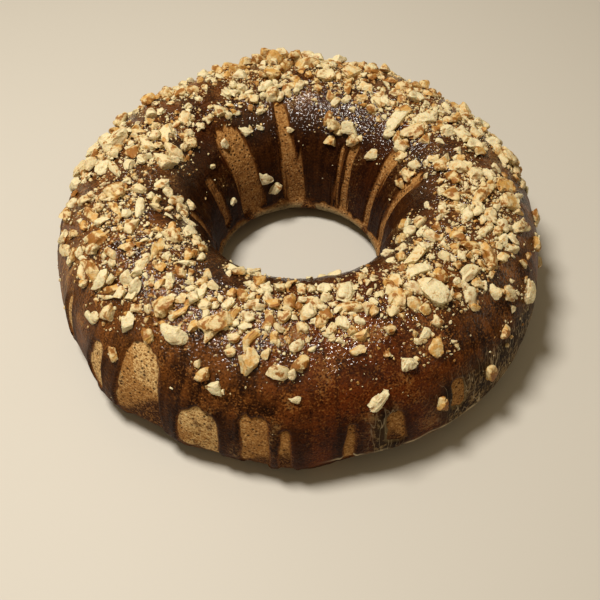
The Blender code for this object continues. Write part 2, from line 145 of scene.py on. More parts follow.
OUTSIDE = measured_side(OUTER_RADIUS, OUTER_ROUNDING)
INSIDE = measured_side(HOLE_RADIUS, INNER_ROUNDING)
outer_line = whole_side(
    OUTSIDE, (OUTER_FOOT_RADIUS, OUTER_FOOT_HEIGHT), (BASE_OUTER_RADIUS, 0.0), 1)
hole_line = whole_side(
    INSIDE, (HOLE_FOOT_RADIUS, HOLE_FOOT_HEIGHT), (BASE_INNER_RADIUS, 0.0), -1)
SECTION = np.vstack((hole_line[::-1], outer_line[1:]))
WIDEST_WAY = OUTSIDE[-1][0]
HOLE_EDGE_WAY = -INSIDE[-1][0]
print("round the section it is", round(1000 * (SECTION[-1, 0] - SECTION[0, 0])), "mm")


# %% How the real cake departs from an even ring
def ease(low, high, value):
    """0 up to low, 1 from high on, and smooth between."""
    share = np.clip((value - low) / (high - low), 0, 1)
    return share * share * (3 - 2 * share)


def turn_between(angle, centre):
    """The angle from centre, from -180 to 180 degrees."""
    return (angle - centre + 180) % 360 - 180


def hills(angle, rows):
    """The sum of smooth hills, each given by its angle, half width and size."""
    return sum(size * np.exp(-((turn_between(angle, at) / wide) ** 2)) for at, wide, size in rows)


def waves(angle, rows):
    """The sum of sine waves round the ring."""
    return sum(size * np.sin(np.radians(turns * angle + start)) for turns, start, size in rows)


def settled(radius, angle, height):
    """Where points of the even ring come to lie on the uneven cake."""
    outside = radius >= CREST_RADIUS
    on_wall = ease(BASE_OUTER_RADIUS, OUTER_FOOT_RADIUS, radius)
    swell = hills(angle, WALL_SWELLS) * (1 - ease(20 * MM, 58 * MM, height)) * on_wall
    foot = (1 - ease(OUTER_FOOT_HEIGHT, WIDEST_HEIGHT + 6 * MM, height)) * on_wall
    rise = hills(angle, FOOT_RISES) * foot
    in_hole = 1 - ease(HOLE_RADIUS + 8 * MM, BASE_INNER_RADIUS, radius)
    above_base = ease(0.0, HOLE_FOOT_HEIGHT, height)
    hole_swell = waves(angle, HOLE_WAVES) * (1 - ease(45 * MM, 64 * MM, height)) * in_hole * above_base
    hole_foot = (1 - ease(HOLE_FOOT_HEIGHT, WIDEST_HEIGHT, height)) * above_base
    hole_rise = waves(angle, HOLE_FOOT_WAVES) * hole_foot
    far = radius + np.where(outside, swell, hole_swell)
    high = height + np.where(outside, rise, hole_rise)
    high = high + waves(angle, CREST_WAVES) * ease(20 * MM, CREST_HEIGHT, height)
    turned = np.radians(angle)
    return np.stack((far * np.cos(turned), far * np.sin(turned), high), -1)


def section_at(way):
    """Radius and height of the even ring at a distance along its section."""
    return np.interp(way, SECTION[:, 0], SECTION[:, 1]), np.interp(way, SECTION[:, 0], SECTION[:, 2])


def on_cake(angle, way):
    """Points on the top of the glaze, before its own runs and lumps."""
    radius, height = section_at(way)
    return settled(radius, angle, height)


def unit(vectors):
    return vectors / np.linalg.norm(vectors, axis=-1, keepdims=True)


def off_cake(angle, way):
    """The directions straight off the cake, from small steps round and along it."""
    outwards = on_cake(angle, way + 0.6 * MM) - on_cake(angle, way - 0.6 * MM)
    round_ring = on_cake(angle + 0.3, way) - on_cake(angle - 0.3, way)
    return unit(np.cross(outwards, round_ring))


# %% [markdown]
# ## Lumps
# Nothing on a cake is even. A lattice of random numbers with smooth steps between them is the
# simplest noise there is, and its lumps have a known size in millimetres.

# %% Lumps of a known size
LATTICE = 64


def lumps(places, size, seed):
    """Smooth random lumps of about that size, from -1 to 1."""
    table = np.random.default_rng(seed).uniform(-1, 1, (LATTICE, LATTICE, LATTICE))
    scaled = places / size
    base = np.floor(scaled).astype(int)
    part = scaled - base
    part = part * part * (3 - 2 * part)
    total = np.zeros(places.shape[:-1])
    for corner in itertools.product((0, 1), repeat=3):
        weight = np.prod(np.where(corner, part, 1 - part), axis=-1)
        spot = (base + np.array(corner)) % LATTICE
        total += weight * table[spot[..., 0], spot[..., 1], spot[..., 2]]
    return total


# Streaks are lumps that are drawn out down the walls by this much.
STREAK_STRETCH = 6.0
STREAK_RADIUS = 100.0 * MM


def run_places(angle, way):
    """Places in a space where lumps come out as streaks down the walls."""
    turned = np.radians(angle)
    return np.stack((
        STREAK_RADIUS * np.cos(turned), STREAK_RADIUS * np.sin(turned),
        way / STREAK_STRETCH + 0 * turned), -1)


# %% [markdown]
# ## Where the glaze left the sponge bare
# Poured glaze runs down in tongues and leaves windows of sponge between them. Each window is a
# slanted, round-cornered slot given at its low and its high end. The distance from its edge decides
# everything: inside it the glaze dips under the sponge, and just outside it the glaze is thickest.

# %% The windows
# Low angle, its half width, low height, then the same at the high end.
OUTER_WINDOWS = (
    (205.0, 2.0, 16 * MM, 206.5, 0.9, 44 * MM),
    (220.5, 3.4, 16 * MM, 221.5, 1.6, 43 * MM),
    (235.0, 6.2, 3 * MM, 234.0, 4.2, 54 * MM),
    (248.8, 5.0, 3 * MM, 248.6, 4.4, 39 * MM),
    (261.2, 3.1, 4 * MM, 261.3, 2.7, 42 * MM),
    (267.6, 1.7, 4 * MM, 267.2, 1.0, 37 * MM),
    (280.0, 1.4, 9 * MM, 281.0, 0.9, 37 * MM),
    (290.9, 2.0, 20 * MM, 290.3, 1.4, 38 * MM),
    (305.5, 2.2, 24 * MM, 305.4, 1.6, 41 * MM),
    (8.0, 3.2, 15 * MM, 9.5, 1.8, 38 * MM),
    (31.0, 4.6, 3 * MM, 29.5, 2.6, 46 * MM),
    (58.0, 2.4, 14 * MM, 58.5, 1.4, 33 * MM),
    (83.0, 5.2, 3 * MM, 84.5, 3.4, 50 * MM),
    (107.0, 3.2, 17 * MM, 106.0, 1.7, 39 * MM),
    (132.0, 4.8, 3 * MM, 133.5, 3.0, 44 * MM),
    (161.0, 2.8, 16 * MM, 160.0, 1.6, 36 * MM),
    (183.0, 3.8, 15 * MM, 184.0, 2.2, 42 * MM),
)
INNER_WINDOWS = (
    (127.0, 11.0, 13 * MM, 132.3, 7.6, 63 * MM),
    (92.5, 8.8, 12 * MM, 100.5, 2.5, 65 * MM),
    (62.0, 1.6, 14 * MM, 62.5, 1.0, 50 * MM),
    (54.5, 4.0, 12 * MM, 55.5, 2.8, 54 * MM),
    (32.0, 3.4, 12 * MM, 29.0, 3.2, 62 * MM),
    (9.0, 5.6, 13 * MM, 7.0, 2.4, 63 * MM),
    (153.5, 4.4, 18 * MM, 159.5, 2.2, 52 * MM),
    (188.0, 5.2, 14 * MM, 191.0, 2.6, 56 * MM),
    (224.0, 3.4, 14 * MM, 222.0, 2.2, 48 * MM),
    (253.0, 6.0, 13 * MM, 250.0, 3.4, 58 * MM),
    (287.0, 3.6, 15 * MM, 288.0, 2.0, 50 * MM),
    (318.0, 5.0, 14 * MM, 322.0, 2.8, 57 * MM),
    (345.0, 2.8, 14 * MM, 344.0, 1.8, 44 * MM),
)
# Where a dull dried film covers the wall, where the glaze's hem has dried to a pale rim that is also
# painted paler as a highlight on its lifted edge, where it is redder or washed thin in streaks, and where
# the sponge is browner or soaked dark: angle, half width, and how much or how high.
DRIED_FILM = ((322, 22, 1.0), (287, 6, 0.6))
DRIED_RIM_AND_HIGHLIGHT = (
    (280, 5, 0.9), (291, 8, 1.2), (305, 10, 1.1), (322, 12, 1.0), (75, 12, 0.8), (150, 10, 0.8))
RUDDY = ((286, 26, 1.0), (40, 20, 0.7), (140, 25, 0.6))
WASHED = ((200, 22, 1.0), (232, 10, 0.4), (345, 12, 0.5), (105, 25, 0.7))
BROWNER = ((263, 5, 0.5), (281, 4, 0.5), (291, 4, 0.4), (305, 5, 0.5), (8, 6, 0.3), (107, 6, 0.3))
SOAKED = (
    (239.5, 5, 28 * MM), (231, 7, 17 * MM), (249, 5, 13 * MM), (262, 4, 19 * MM), (268, 3, 20 * MM),
    (290, 4, 26 * MM), (31, 6, 16 * MM), (83, 7, 20 * MM), (132, 7, 17 * MM))
# How high the hem of the glaze lies outside and in the hole, in millimetres.
OUTER_HEM = 4.5
INNER_HEM = 13.5


def into_glaze(angle, way, windows):
    """Distance into the glaze from the nearest window's edge: below 0 inside the window."""
    radius, height = section_at(way)
    nearest = np.full(np.broadcast(angle, way).shape, 1.0)
    for low_at, low_half, low, high_at, high_half, high in windows:
        share = np.clip((height - low) / (high - low), 0, 1)
        half = (low_half + (high_half - low_half) * share) * np.radians(radius)
        aside = np.abs(turn_between(angle, low_at + (high_at - low_at) * share)) * np.radians(radius)
        corner = 0.85 * half
        across = aside - half + corner
        along = np.maximum(low - height, height - high) + corner
        outside = np.hypot(np.maximum(across, 0), np.maximum(along, 0))
        edge = outside + np.minimum(np.maximum(across, along), 0) - corner
        nearest = np.minimum(nearest, edge)
    return nearest


def glaze_edge(angle, way):
    """Distance into the glaze from its nearest edge, wherever that is."""
    outer = into_glaze(angle, way, OUTER_WINDOWS)
    inner = into_glaze(angle, way, INNER_WINDOWS)
    edge = np.where(way > 0, outer, inner)
    streaks = run_places(angle, way)
    edge = edge + 1.6 * MM * lumps(streaks, 4 * MM, 3) + 1.0 * MM * lumps(streaks, 1.7 * MM, 4)
    places = on_cake(angle, way)
    height = places[..., 2]
    outer_hem = height - (OUTER_HEM + 3 * lumps(streaks, 9 * MM, 5)) * MM
    inner_hem = height - (INNER_HEM + 2.5 * lumps(streaks, 8 * MM, 6)) * MM
    hem = np.where(way > 0, outer_hem, inner_hem)
    return np.minimum(edge, hem)


# %% [markdown]
# ## Sheets of faces
# Sponge and glaze are both laid out as a grid: columns round the ring and rows along its section.
# Rows are close together only where the eye gets close, which keeps each piece light.

# %% Turn a grid of points into a mesh
def rows_between(stops):
    """Distances along the section, from (start, step) stops: the last stop is only an end."""
    found = []
    for (start, step), (end, _) in zip(stops, stops[1:]):
        found += list(np.linspace(start, end, max(int(round((end - start) / step)), 1) + 1)[:-1])
    return np.array(found + [stops[-1][0]])


def ring_grid(columns, rows):
    """Angle and distance from the crest at every point of a grid on the ring."""
    return np.meshgrid(np.linspace(0, 360, columns, endpoint=False), rows)


def grid_mesh(name, grid, closed):
    """A mesh of rows of points round the ring, where the last row may join the first again."""
    rows, columns = grid.shape[:2]
    index = np.arange(rows * columns).reshape(rows, columns)
    here, down = (index, np.roll(index, -1, 0)) if closed else (index[:-1], index[1:])
    faces = np.stack((here, down, np.roll(down, -1, 1), np.roll(here, -1, 1)), -1)
    mesh = bpy.data.meshes.new(name)
    mesh.from_pydata(grid.reshape(-1, 3).tolist(), [], faces.reshape(-1, 4).tolist())
    return mesh


def store(mesh, name, values):
    """Keeps a value of each point on the mesh: a number, a whole number or a vector."""
    values = np.asarray(values).reshape(len(mesh.vertices), -1)
    whole = values.dtype.kind == "i"
    kind = "INT" if whole else "FLOAT_VECTOR" if values.shape[1] == 3 else "FLOAT"
    made = mesh.attributes.new(name, kind, "POINT")
    made.data.foreach_set(
        "vector" if kind == "FLOAT_VECTOR" else "value",
        values.astype(np.int32 if whole else np.float32).ravel())


def placed(name, data):
    """An object in the scene with that mesh, light or camera."""
    made = bpy.data.objects.new(name, data)
    bpy.context.scene.collection.objects.link(made)
    return made


def closed_ring(name, grid, fields):
    """A closed body from rows of points round the ring, with its fields stored on it."""
    mesh = grid_mesh(name, grid, True)
    for field, values in fields.items():
        store(mesh, field, values)
    mesh.shade_smooth()
    print(name, "has", 2 * len(mesh.polygons), "triangles")
    return placed(name, mesh)


# %% [markdown]
# ## The sponge
# The crust of the sponge lies just under the glaze. It shows in the windows and at the foot, where
# its open crumb is pitted, so its surface is lumpy with small holes pressed into it.

# %% Shape the sponge
SPONGE_COLUMNS = 680
LIP_HEIGHT = 11.5 * MM
PIT_SIZE = 2.0 * MM
PIT_DEPTH = 0.8 * MM


def sponge_ring():
    rows = rows_between((
        (SECTION[0, 0], 5 * MM), (HOLE_EDGE_WAY - 22 * MM, 1.6 * MM), (HOLE_EDGE_WAY, 1.0 * MM),
        (-26 * MM, 5 * MM), (26 * MM, 2.5 * MM), (38 * MM, 1.0 * MM), (WIDEST_WAY + 14 * MM, 2.5 * MM),
        (WIDEST_WAY + 28 * MM, 6 * MM), (SECTION[-1, 0], 0)))[:-1]
    angle, way = ring_grid(SPONGE_COLUMNS, rows)
    places, off = on_cake(angle, way), off_cake(angle, way)
    pitted = ease(0.1, 0.5, lumps(places, 9 * MM, 22) + 0.3)
    # The pits are pressed in as real relief, and the finish also paints them dark as shade.
    pits = np.clip(lumps(places, PIT_SIZE, 21) - 0.25, 0, 1) * pitted
    rough = 0.16 * MM * lumps(places, 3.2 * MM, 23) + 0.10 * MM * lumps(places, 1.5 * MM, 24)
    upward = ease(0.2 * MM, 2 * MM, places[..., 2])
    sink = GLAZE_THICKNESS + (PIT_DEPTH * pits - rough) * upward
    grid = places - off * (sink * upward)[..., None]
    edge = glaze_edge(angle, way)
    above_soaked = places[..., 2] - hills(angle, SOAKED) + 3 * MM * lumps(places, 5 * MM, 25)
    soaked = 1 - ease(-3 * MM, 3 * MM, above_soaked)
    lip = np.where(way < 0, 1 - ease(LIP_HEIGHT - 2 * MM, LIP_HEIGHT + 2 * MM, places[..., 2]), 0)
    pale = (way > 0) * (0.6 + 0.4 * ease(-0.7, 0.3, lumps(places, 11 * MM, 26)))
    pale = pale * (1 - hills(angle, BROWNER))
    # Paler higher up the hole's wall.
    paler_up_the_hole = ease(40 * MM, 60 * MM, places[..., 2] + 12 * MM * lumps(places, 8 * MM, 27))
    pale = pale + (way < 0) * (0.15 + 0.4 * paler_up_the_hole)
    fields = {
        "soaked": soaked, "lip": lip, "pits": pits, "pale": pale,
        "edge": edge / MM, "run_place": run_places(angle, way)}
    return closed_ring("sponge_ring", grid, fields)


sponge = sponge_ring()

# %% [markdown]
# ## The glaze
# The coat is a thin closed shell. Its top follows the edge distance: it dips under the sponge in
# the windows, swells to a rounded bead along each edge, and thins out a little beyond it. It comes
# in two pieces, one down the outside and one down the hole, so that both can be finely cut.

# %% Shape the glaze
GLAZE_COLUMNS = 960
GLAZE_UNDER = 1.1 * MM
BEAD = 0.5 * MM
GLAZE_SPLIT = -2.0 * MM
WINDOW_DIP = 0.7 * MM
RUN_RELIEF = 0.38 * MM
# Heights between which the dried film and the beads and runs of the wall fade out.
FILM_FADES = (34 * MM, 48 * MM)
WALL_ENDS = (48 * MM, 62 * MM)
RIM_HEIGHT = 14.5 * MM
RIM_WIDTH = 0.8 * MM


def film_share(angle, way):
    """How dull and dry the glaze is at a place, from 0 to 1."""
    _, height = section_at(way)
    spread = np.clip(hills(angle, DRIED_FILM), 0, 1)
    ragged = lumps(run_places(angle, way), 8 * MM, 31)
    return ease(0.25, 0.75, spread + 0.25 * ragged) * (1 - ease(*FILM_FADES, height)) * (way > 0)


def glaze_rise(angle, way):
    """How far the glaze stands above the sponge, below 0 in the windows; its edge and film."""
    places, streaks = on_cake(angle, way), run_places(angle, way)
    edge = glaze_edge(angle, way)
    _, height = section_at(way)
    wall = 1 - ease(*WALL_ENDS, height)
    film = film_share(angle, way)
    body = GLAZE_THICKNESS * (1 - np.exp(-np.maximum(edge, 0) / (1.0 * MM)))
    bead = BEAD * np.exp(-(((edge - 1.5 * MM) / (1.1 * MM)) ** 2)) * wall
    runs = RUN_RELIEF * lumps(streaks, 6 * MM, 32) * wall * ease(0, 2 * MM, edge)
    fine = (0.08 + 0.12 * (1 - wall)) * MM * lumps(places, 2.4 * MM, 34)
    uneven = 0.22 * MM * lumps(places, 6 * MM, 33) + fine
    above = body + (bead + runs) * (1 - 0.7 * film) + uneven * ease(0, 2 * MM, edge)
    below = -WINDOW_DIP * (1 - np.exp(np.minimum(edge, 0) / (0.8 * MM)))
    return np.where(edge > 0, above, below), edge, film


def glaze_shell(name, stops, under_steps):
    """One closed piece of the coat, with the fields that its finish reads."""
    rows = rows_between(stops)
    angle, way = ring_grid(GLAZE_COLUMNS, rows)
    rise, edge, film = glaze_rise(angle, way)
    top = on_cake(angle, way) + off_cake(angle, way) * (rise - GLAZE_THICKNESS)[..., None]
    under_angle, under_way = ring_grid(GLAZE_COLUMNS, np.linspace(rows[-1], rows[0], under_steps))
    depth = GLAZE_THICKNESS + GLAZE_UNDER
    under = on_cake(under_angle, under_way) - off_cake(under_angle, under_way) * depth
    empty = np.zeros(under_way.shape)
    _, height = section_at(way)
    streaks = run_places(angle, way)
    dry = 1 - ease(20 * MM, 60 * MM, height + 8 * MM * lumps(streaks, 12 * MM, 35))
    hem = RIM_HEIGHT + 1.8 * MM * lumps(streaks, 12 * MM, 38)
    # The rim is the glaze's pale dried hem, painted paler still as a highlight on its lifted edge.
    rim = np.exp(-(((height - hem) / RIM_WIDTH) ** 2)) * np.clip(hills(angle, DRIED_RIM_AND_HIGHLIGHT), 0, 1)
    rim = rim * np.clip(0.35 + 1.1 * lumps(streaks, 5 * MM, 36), 0, 1) * (way > 0)
    drip = (1 - ease(2.5 * MM, 9 * MM, edge)) * (1 - ease(36 * MM, 46 * MM, height)) * (way > 0)
    wet = np.clip(0.75 + 0.8 * lumps(on_cake(angle, way), 13 * MM, 37), 0, 1)
    wet = wet * ease(49 * MM, 62 * MM, height) * ease(0.5 * MM, 2 * MM, edge)
    ruddy = np.clip(hills(angle, RUDDY), 0, 1)
    washed = np.clip(hills(angle, WASHED), 0, 1) * ease(14 * MM, 40 * MM, way)
    # Painted shade: the glaze is darkened over the crest, where the nuts lie thick, and down the hole.
    hole = 0.45 * ease(-16 * MM, 0, -way) + 0.55 * ease(6 * MM, 22 * MM, -way)
    stored = (
        ("edge", edge / MM), ("film", film), ("dry", dry), ("rim", rim), ("wet", wet),
        ("ruddy", ruddy), ("hole", hole), ("drip", drip), ("washed", washed))
    fields = {label: np.vstack((values, empty)) for label, values in stored}
    fields["run_place"] = np.vstack((streaks, run_places(under_angle, under_way)))
    return closed_ring(name, np.vstack((top, under)), fields)


glaze_outside = glaze_shell("glaze_outside", (
    (GLAZE_SPLIT, 2.6 * MM), (22 * MM, 0.85 * MM), (WIDEST_WAY + 13 * MM, 0)), 9)
glaze_in_hole = glaze_shell("glaze_in_hole", (
    (HOLE_EDGE_WAY - 3 * MM, 0.75 * MM), (-12 * MM, 2.0 * MM), (GLAZE_SPLIT, 0)), 8)

# %% [markdown]
# ## Colours and nodes
# Colours are written as a paint chart would give them, in sRGB, and one function turns them into
# the linear numbers that shaders want. One more function adds a node with its settings and links.
# Food is never one colour, so a finish is a ground colour with layers over it: each layer has a
# field that decides where it lies, such as a noise or a value stored on the mesh.

# %% Helpers for materials
def hex_colour(text):
    """An sRGB hex colour as a linear RGBA value."""
    parts = [int(text[i:i + 2], 16) / 255 for i in (1, 3, 5)]
    return (*[p / 12.92 if p <= 0.04045 else ((p + 0.055) / 1.055) ** 2.4 for p in parts], 1.0)


def add(tree, kind, inputs=None, out=0, **settings):
    """Adds a node, sets it, fills its inputs with values or sockets, and gives one of its outputs."""
    node = tree.nodes.new(kind)
    for name, value in settings.items():
        setattr(node, name, value)
    for key, value in (inputs or {}).items():
        if isinstance(value, bpy.types.NodeSocket):
            tree.links.new(value, node.inputs[key])
        else:
            node.inputs[key].default_value = value
    return node.outputs[out] if node.outputs else None


def blank_material(name, values):
    """A new Principled material with those values: the material, its tree and its shader."""
    made = bpy.data.materials.new(name)
    made.use_nodes = True
    shader = made.node_tree.nodes["Principled BSDF"]
    for socket, value in values.items():
        shader.inputs[socket].default_value = value
    return made, made.node_tree, shader


def stored_and_noisy(tree, stored, noises):
    """The fields of a finish: values stored on the mesh, and noises given by their spots' size."""
    places = add(tree, "ShaderNodeTexCoord", out="Object")
    runs = add(tree, "ShaderNodeAttribute", out="Vector", attribute_name="run_place")
    found = {name: add(tree, "ShaderNodeAttribute", out="Fac", attribute_name=name) for name in stored}
    for name, along_runs, size, detail in noises:
        found[name] = add(tree, "ShaderNodeTexNoise", {
            "Vector": runs if along_runs else places, "Scale": 1 / size, "Detail": detail,
            "Roughness": 0.58})
    return places, found


def layered(tree, ground, layers):
    """Colours laid over a ground: a field, where the layer starts and is full, its most, its tone."""
    colour = hex_colour(ground)
    for field, start, full, most, tone in layers:
        share = add(tree, "ShaderNodeMapRange", {
            "Value": field, "From Min": start, "From Max": full, "To Max": most})
        colour = add(tree, "ShaderNodeMix", {0: share, 6: colour, 7: hex_colour(tone)}, 2, data_type="RGBA")
    return colour


# %% [markdown]
# ## Baked sponge
# A cake crust is brown where the pan touched it and golden where it tore. It is matt, with a crumb
# of about a millimetre: pale walls with painted shade in the pits. Where glaze soaked in, it is nearly as
# dark.

# %% The sponge's finish
def baked_sponge():
    made, tree, shader = blank_material("baked_sponge_crust", {
        "Roughness": 0.85, "Specular IOR Level": 0.12})
    places, field = stored_and_noisy(tree, ("soaked", "lip", "pits", "pale", "edge"), (
        ("crumb", False, 1.0 * MM, 3.0), ("pore_shade", False, 0.55 * MM, 2.0),
        ("patches", False, 6 * MM, 3.0), ("stains", True, 2.0 * MM, 3.0)))
    holes = add(tree, "ShaderNodeTexVoronoi", {"Vector": places, "Scale": 1 / (2.3 * MM)})
    light_crumb = add(tree, "ShaderNodeMath", {0: field["crumb"], 1: field["pale"]}, operation="MULTIPLY")
    stain = add(tree, "ShaderNodeMath", {0: field["stains"], 1: field["pale"]}, operation="MULTIPLY")
    crust = layered(tree, "#835226", (
        (field["patches"], 0.35, 0.65, 1.0, "#a06c36"),
        (field["pale"], 0.0, 1.0, 0.85, "#c89350"),
        (field["crumb"], 0.46, 0.36, 0.7, "#6b411e"),
        (field["crumb"], 0.52, 0.62, 0.75, "#cfa268"),
        (light_crumb, 0.38, 0.56, 0.75, "#f2d092"),
        # The pores and the Voronoi holes are painted shade: dark spots where the crumb's cavities fall in
        # shade.
        (field["pore_shade"], 0.44, 0.32, 0.65, "#4f2d12"),
        (holes, 0.26, 0.14, 0.85, "#33190a"),
        (stain, 0.56, 0.70, 0.7, "#5c3416"),
        (field["lip"], 0.0, 1.0, 1.0, "#857453")))
    soaked = layered(tree, "#41230e", ((field["crumb"], 0.50, 0.64, 1.0, "#9a6a38"),))
    crust = add(tree, "ShaderNodeMix", {0: field["soaked"], 6: crust, 7: soaked}, 2, data_type="RGBA")
    frayed = add(tree, "ShaderNodeMath", {0: field["crumb"], 1: 4.0, 2: field["edge"]},
                 operation="MULTIPLY_ADD")
    rim = add(tree, "ShaderNodeMapRange", {"Value": frayed, "From Min": 1.5, "From Max": 2.2})
    # Darker just along the glaze's edge, plus painted shade in the pressed-in pits.
    dark_edge_and_pit_shade = add(tree, "ShaderNodeMath", {0: rim, 1: field["pits"]}, operation="ADD")
    dark_edge_and_pit_shade = add(tree, "ShaderNodeMath", {0: dark_edge_and_pit_shade, 1: 0.8}, operation="MULTIPLY", use_clamp=True)
    colour = add(tree, "ShaderNodeMix", {0: dark_edge_and_pit_shade, 6: crust, 7: hex_colour("#42200c")}, 2, data_type="RGBA")
    tree.links.new(colour, shader.inputs["Base Color"])
    sunk = add(tree, "ShaderNodeMapRange", {"Value": holes, "From Min": 0.10, "From Max": 0.34})
    relief = add(tree, "ShaderNodeMath", {0: field["crumb"], 1: sunk}, operation="ADD")
    bump = add(tree, "ShaderNodeBump", {"Height": relief, "Strength": 0.9, "Distance": 0.7 * MM})
    tree.links.new(bump, shader.inputs["Normal"])
    return made


sponge_crust = baked_sponge()
sponge.data.materials.append(sponge_crust)
print("sponge finish:", len(sponge_crust.node_tree.nodes), "nodes")

# %% [markdown]
# ## Chocolate glaze
# Cocoa, sugar and butter poured warm. On top it stays wet, so it gets a clear coat over small lumps,
# and the light comes back from it as sparkles. Thick it is nearly black, thin it lets the sponge's
# brown through. Down the walls it dries duller, and as a film it is grey and finely scored.

# %% The glaze's finish
def poured_glaze():
    made, tree, shader = blank_material("poured_chocolate_glaze", {
        "IOR": 1.45, "Specular IOR Level": 0.06, "Coat Roughness": 0.07, "Coat IOR": 1.6})
    places, field = stored_and_noisy(
        tree, ("film", "edge", "dry", "rim", "wet", "ruddy", "hole", "drip", "washed"), (
            ("runnels", True, 2.2 * MM, 2.0),
            ("clouds", False, 9 * MM, 4.0), ("streaks", True, 4.0 * MM, 3.0),
            ("specks", False, 0.9 * MM, 2.0), ("flecks", False, 1.6 * MM, 2.0),
            ("hairs", True, 2.4 * MM, 1.0), ("smears", False, 14 * MM, 2.0),
            ("grit", False, 1.5 * MM, 2.0), ("lumps", False, 1.5 * MM, 1.0)))
    grains = add(tree, "ShaderNodeTexVoronoi", {"Vector": places, "Scale": 1 / (10 * MM)})
    thin = add(tree, "ShaderNodeMath", {0: field["clouds"], 1: field["streaks"]}, operation="MULTIPLY")
    ragged = add(tree, "ShaderNodeMath", {0: field["specks"], 1: -2.6, 2: field["edge"]},
                 operation="MULTIPLY_ADD")
    red = add(tree, "ShaderNodeMath", {0: thin, 1: field["ruddy"]}, operation="MULTIPLY")
    smeared = add(tree, "ShaderNodeMath", {0: field["flecks"], 1: field["smears"]}, operation="MULTIPLY")
    watery = add(tree, "ShaderNodeMath", {0: field["runnels"], 1: field["washed"]}, operation="MULTIPLY")
    mottled = add(tree, "ShaderNodeMath", {0: field["specks"], 1: field["smears"]}, operation="MULTIPLY")
    poured = layered(tree, "#2b1407", (
        (thin, 0.17, 0.36, 1.0, "#6f3f18"),
        (red, 0.08, 0.30, 0.8, "#64290b"),
        (field["dry"], 0.2, 1.0, 0.10, "#241006"),
        (field["washed"], 0.0, 1.0, 0.5, "#76481f"),
        (watery, 0.46, 0.62, 0.8, "#a97d48"),
        (field["specks"], 0.56, 0.70, 0.5, "#9a6630"),
        (mottled, 0.28, 0.36, 0.6, "#935e2c"),
        (field["specks"], 0.46, 0.32, 0.8, "#120702"),
        # Painted shade over the crest among the nuts and down the hole.
        (field["hole"], 0.0, 1.0, 0.75, "#220e07"),
        (field["drip"], 0.0, 1.0, 0.7, "#220e05"),
        (smeared, 0.36, 0.44, 0.5, "#a07c4c"),
        (grains, 0.050, 0.036, 0.9, "#dcc9a4"),
        (ragged, -0.4, -1.3, 0.7, "#7f4e22")))
    off_middle = add(tree, "ShaderNodeMath", {0: field["hairs"], 1: 0.5}, operation="SUBTRACT")
    hair = add(tree, "ShaderNodeMath", {0: off_middle}, operation="ABSOLUTE")
    filmy = layered(tree, "#21150c", (
        (field["streaks"], 0.40, 0.66, 0.8, "#4c3822"),
        (smeared, 0.25, 0.34, 0.85, "#937a54"),
        (hair, 0.020, 0.006, 0.8, "#bba888"),
        (field["edge"], 1.2, 0.2, 0.5, "#94825e")))
    colour = add(tree, "ShaderNodeMix", {0: field["film"], 6: poured, 7: filmy}, 2, data_type="RGBA")
    # A pale rim along the hem: dried glaze, partly a painted highlight on its lifted edge.
    colour = add(tree, "ShaderNodeMix", {
        0: field["rim"], 6: colour, 7: hex_colour("#dccba6")}, 2, data_type="RGBA")
    tree.links.new(colour, shader.inputs["Base Color"])
    walls = add(tree, "ShaderNodeMix", {0: field["dry"], 2: 0.30, 3: 0.50})
    rough = add(tree, "ShaderNodeMix", {0: field["film"], 2: walls, 3: 0.62})
    tree.links.new(rough, shader.inputs["Roughness"])
    tree.links.new(field["wet"], shader.inputs["Coat Weight"])
    skin = add(tree, "ShaderNodeBump", {"Height": field["lumps"], "Strength": 1.0, "Distance": 1.1 * MM})
    tree.links.new(skin, shader.inputs["Coat Normal"])
    bump = add(tree, "ShaderNodeBump", {"Height": field["grit"], "Strength": 0.5, "Distance": 0.9 * MM})
    tree.links.new(bump, shader.inputs["Normal"])
    return made


glaze_coat = poured_glaze()
for coat in (glaze_outside, glaze_in_hole):
    coat.data.materials.append(glaze_coat)
print("glaze finish:", len(glaze_coat.node_tree.nodes), "nodes")
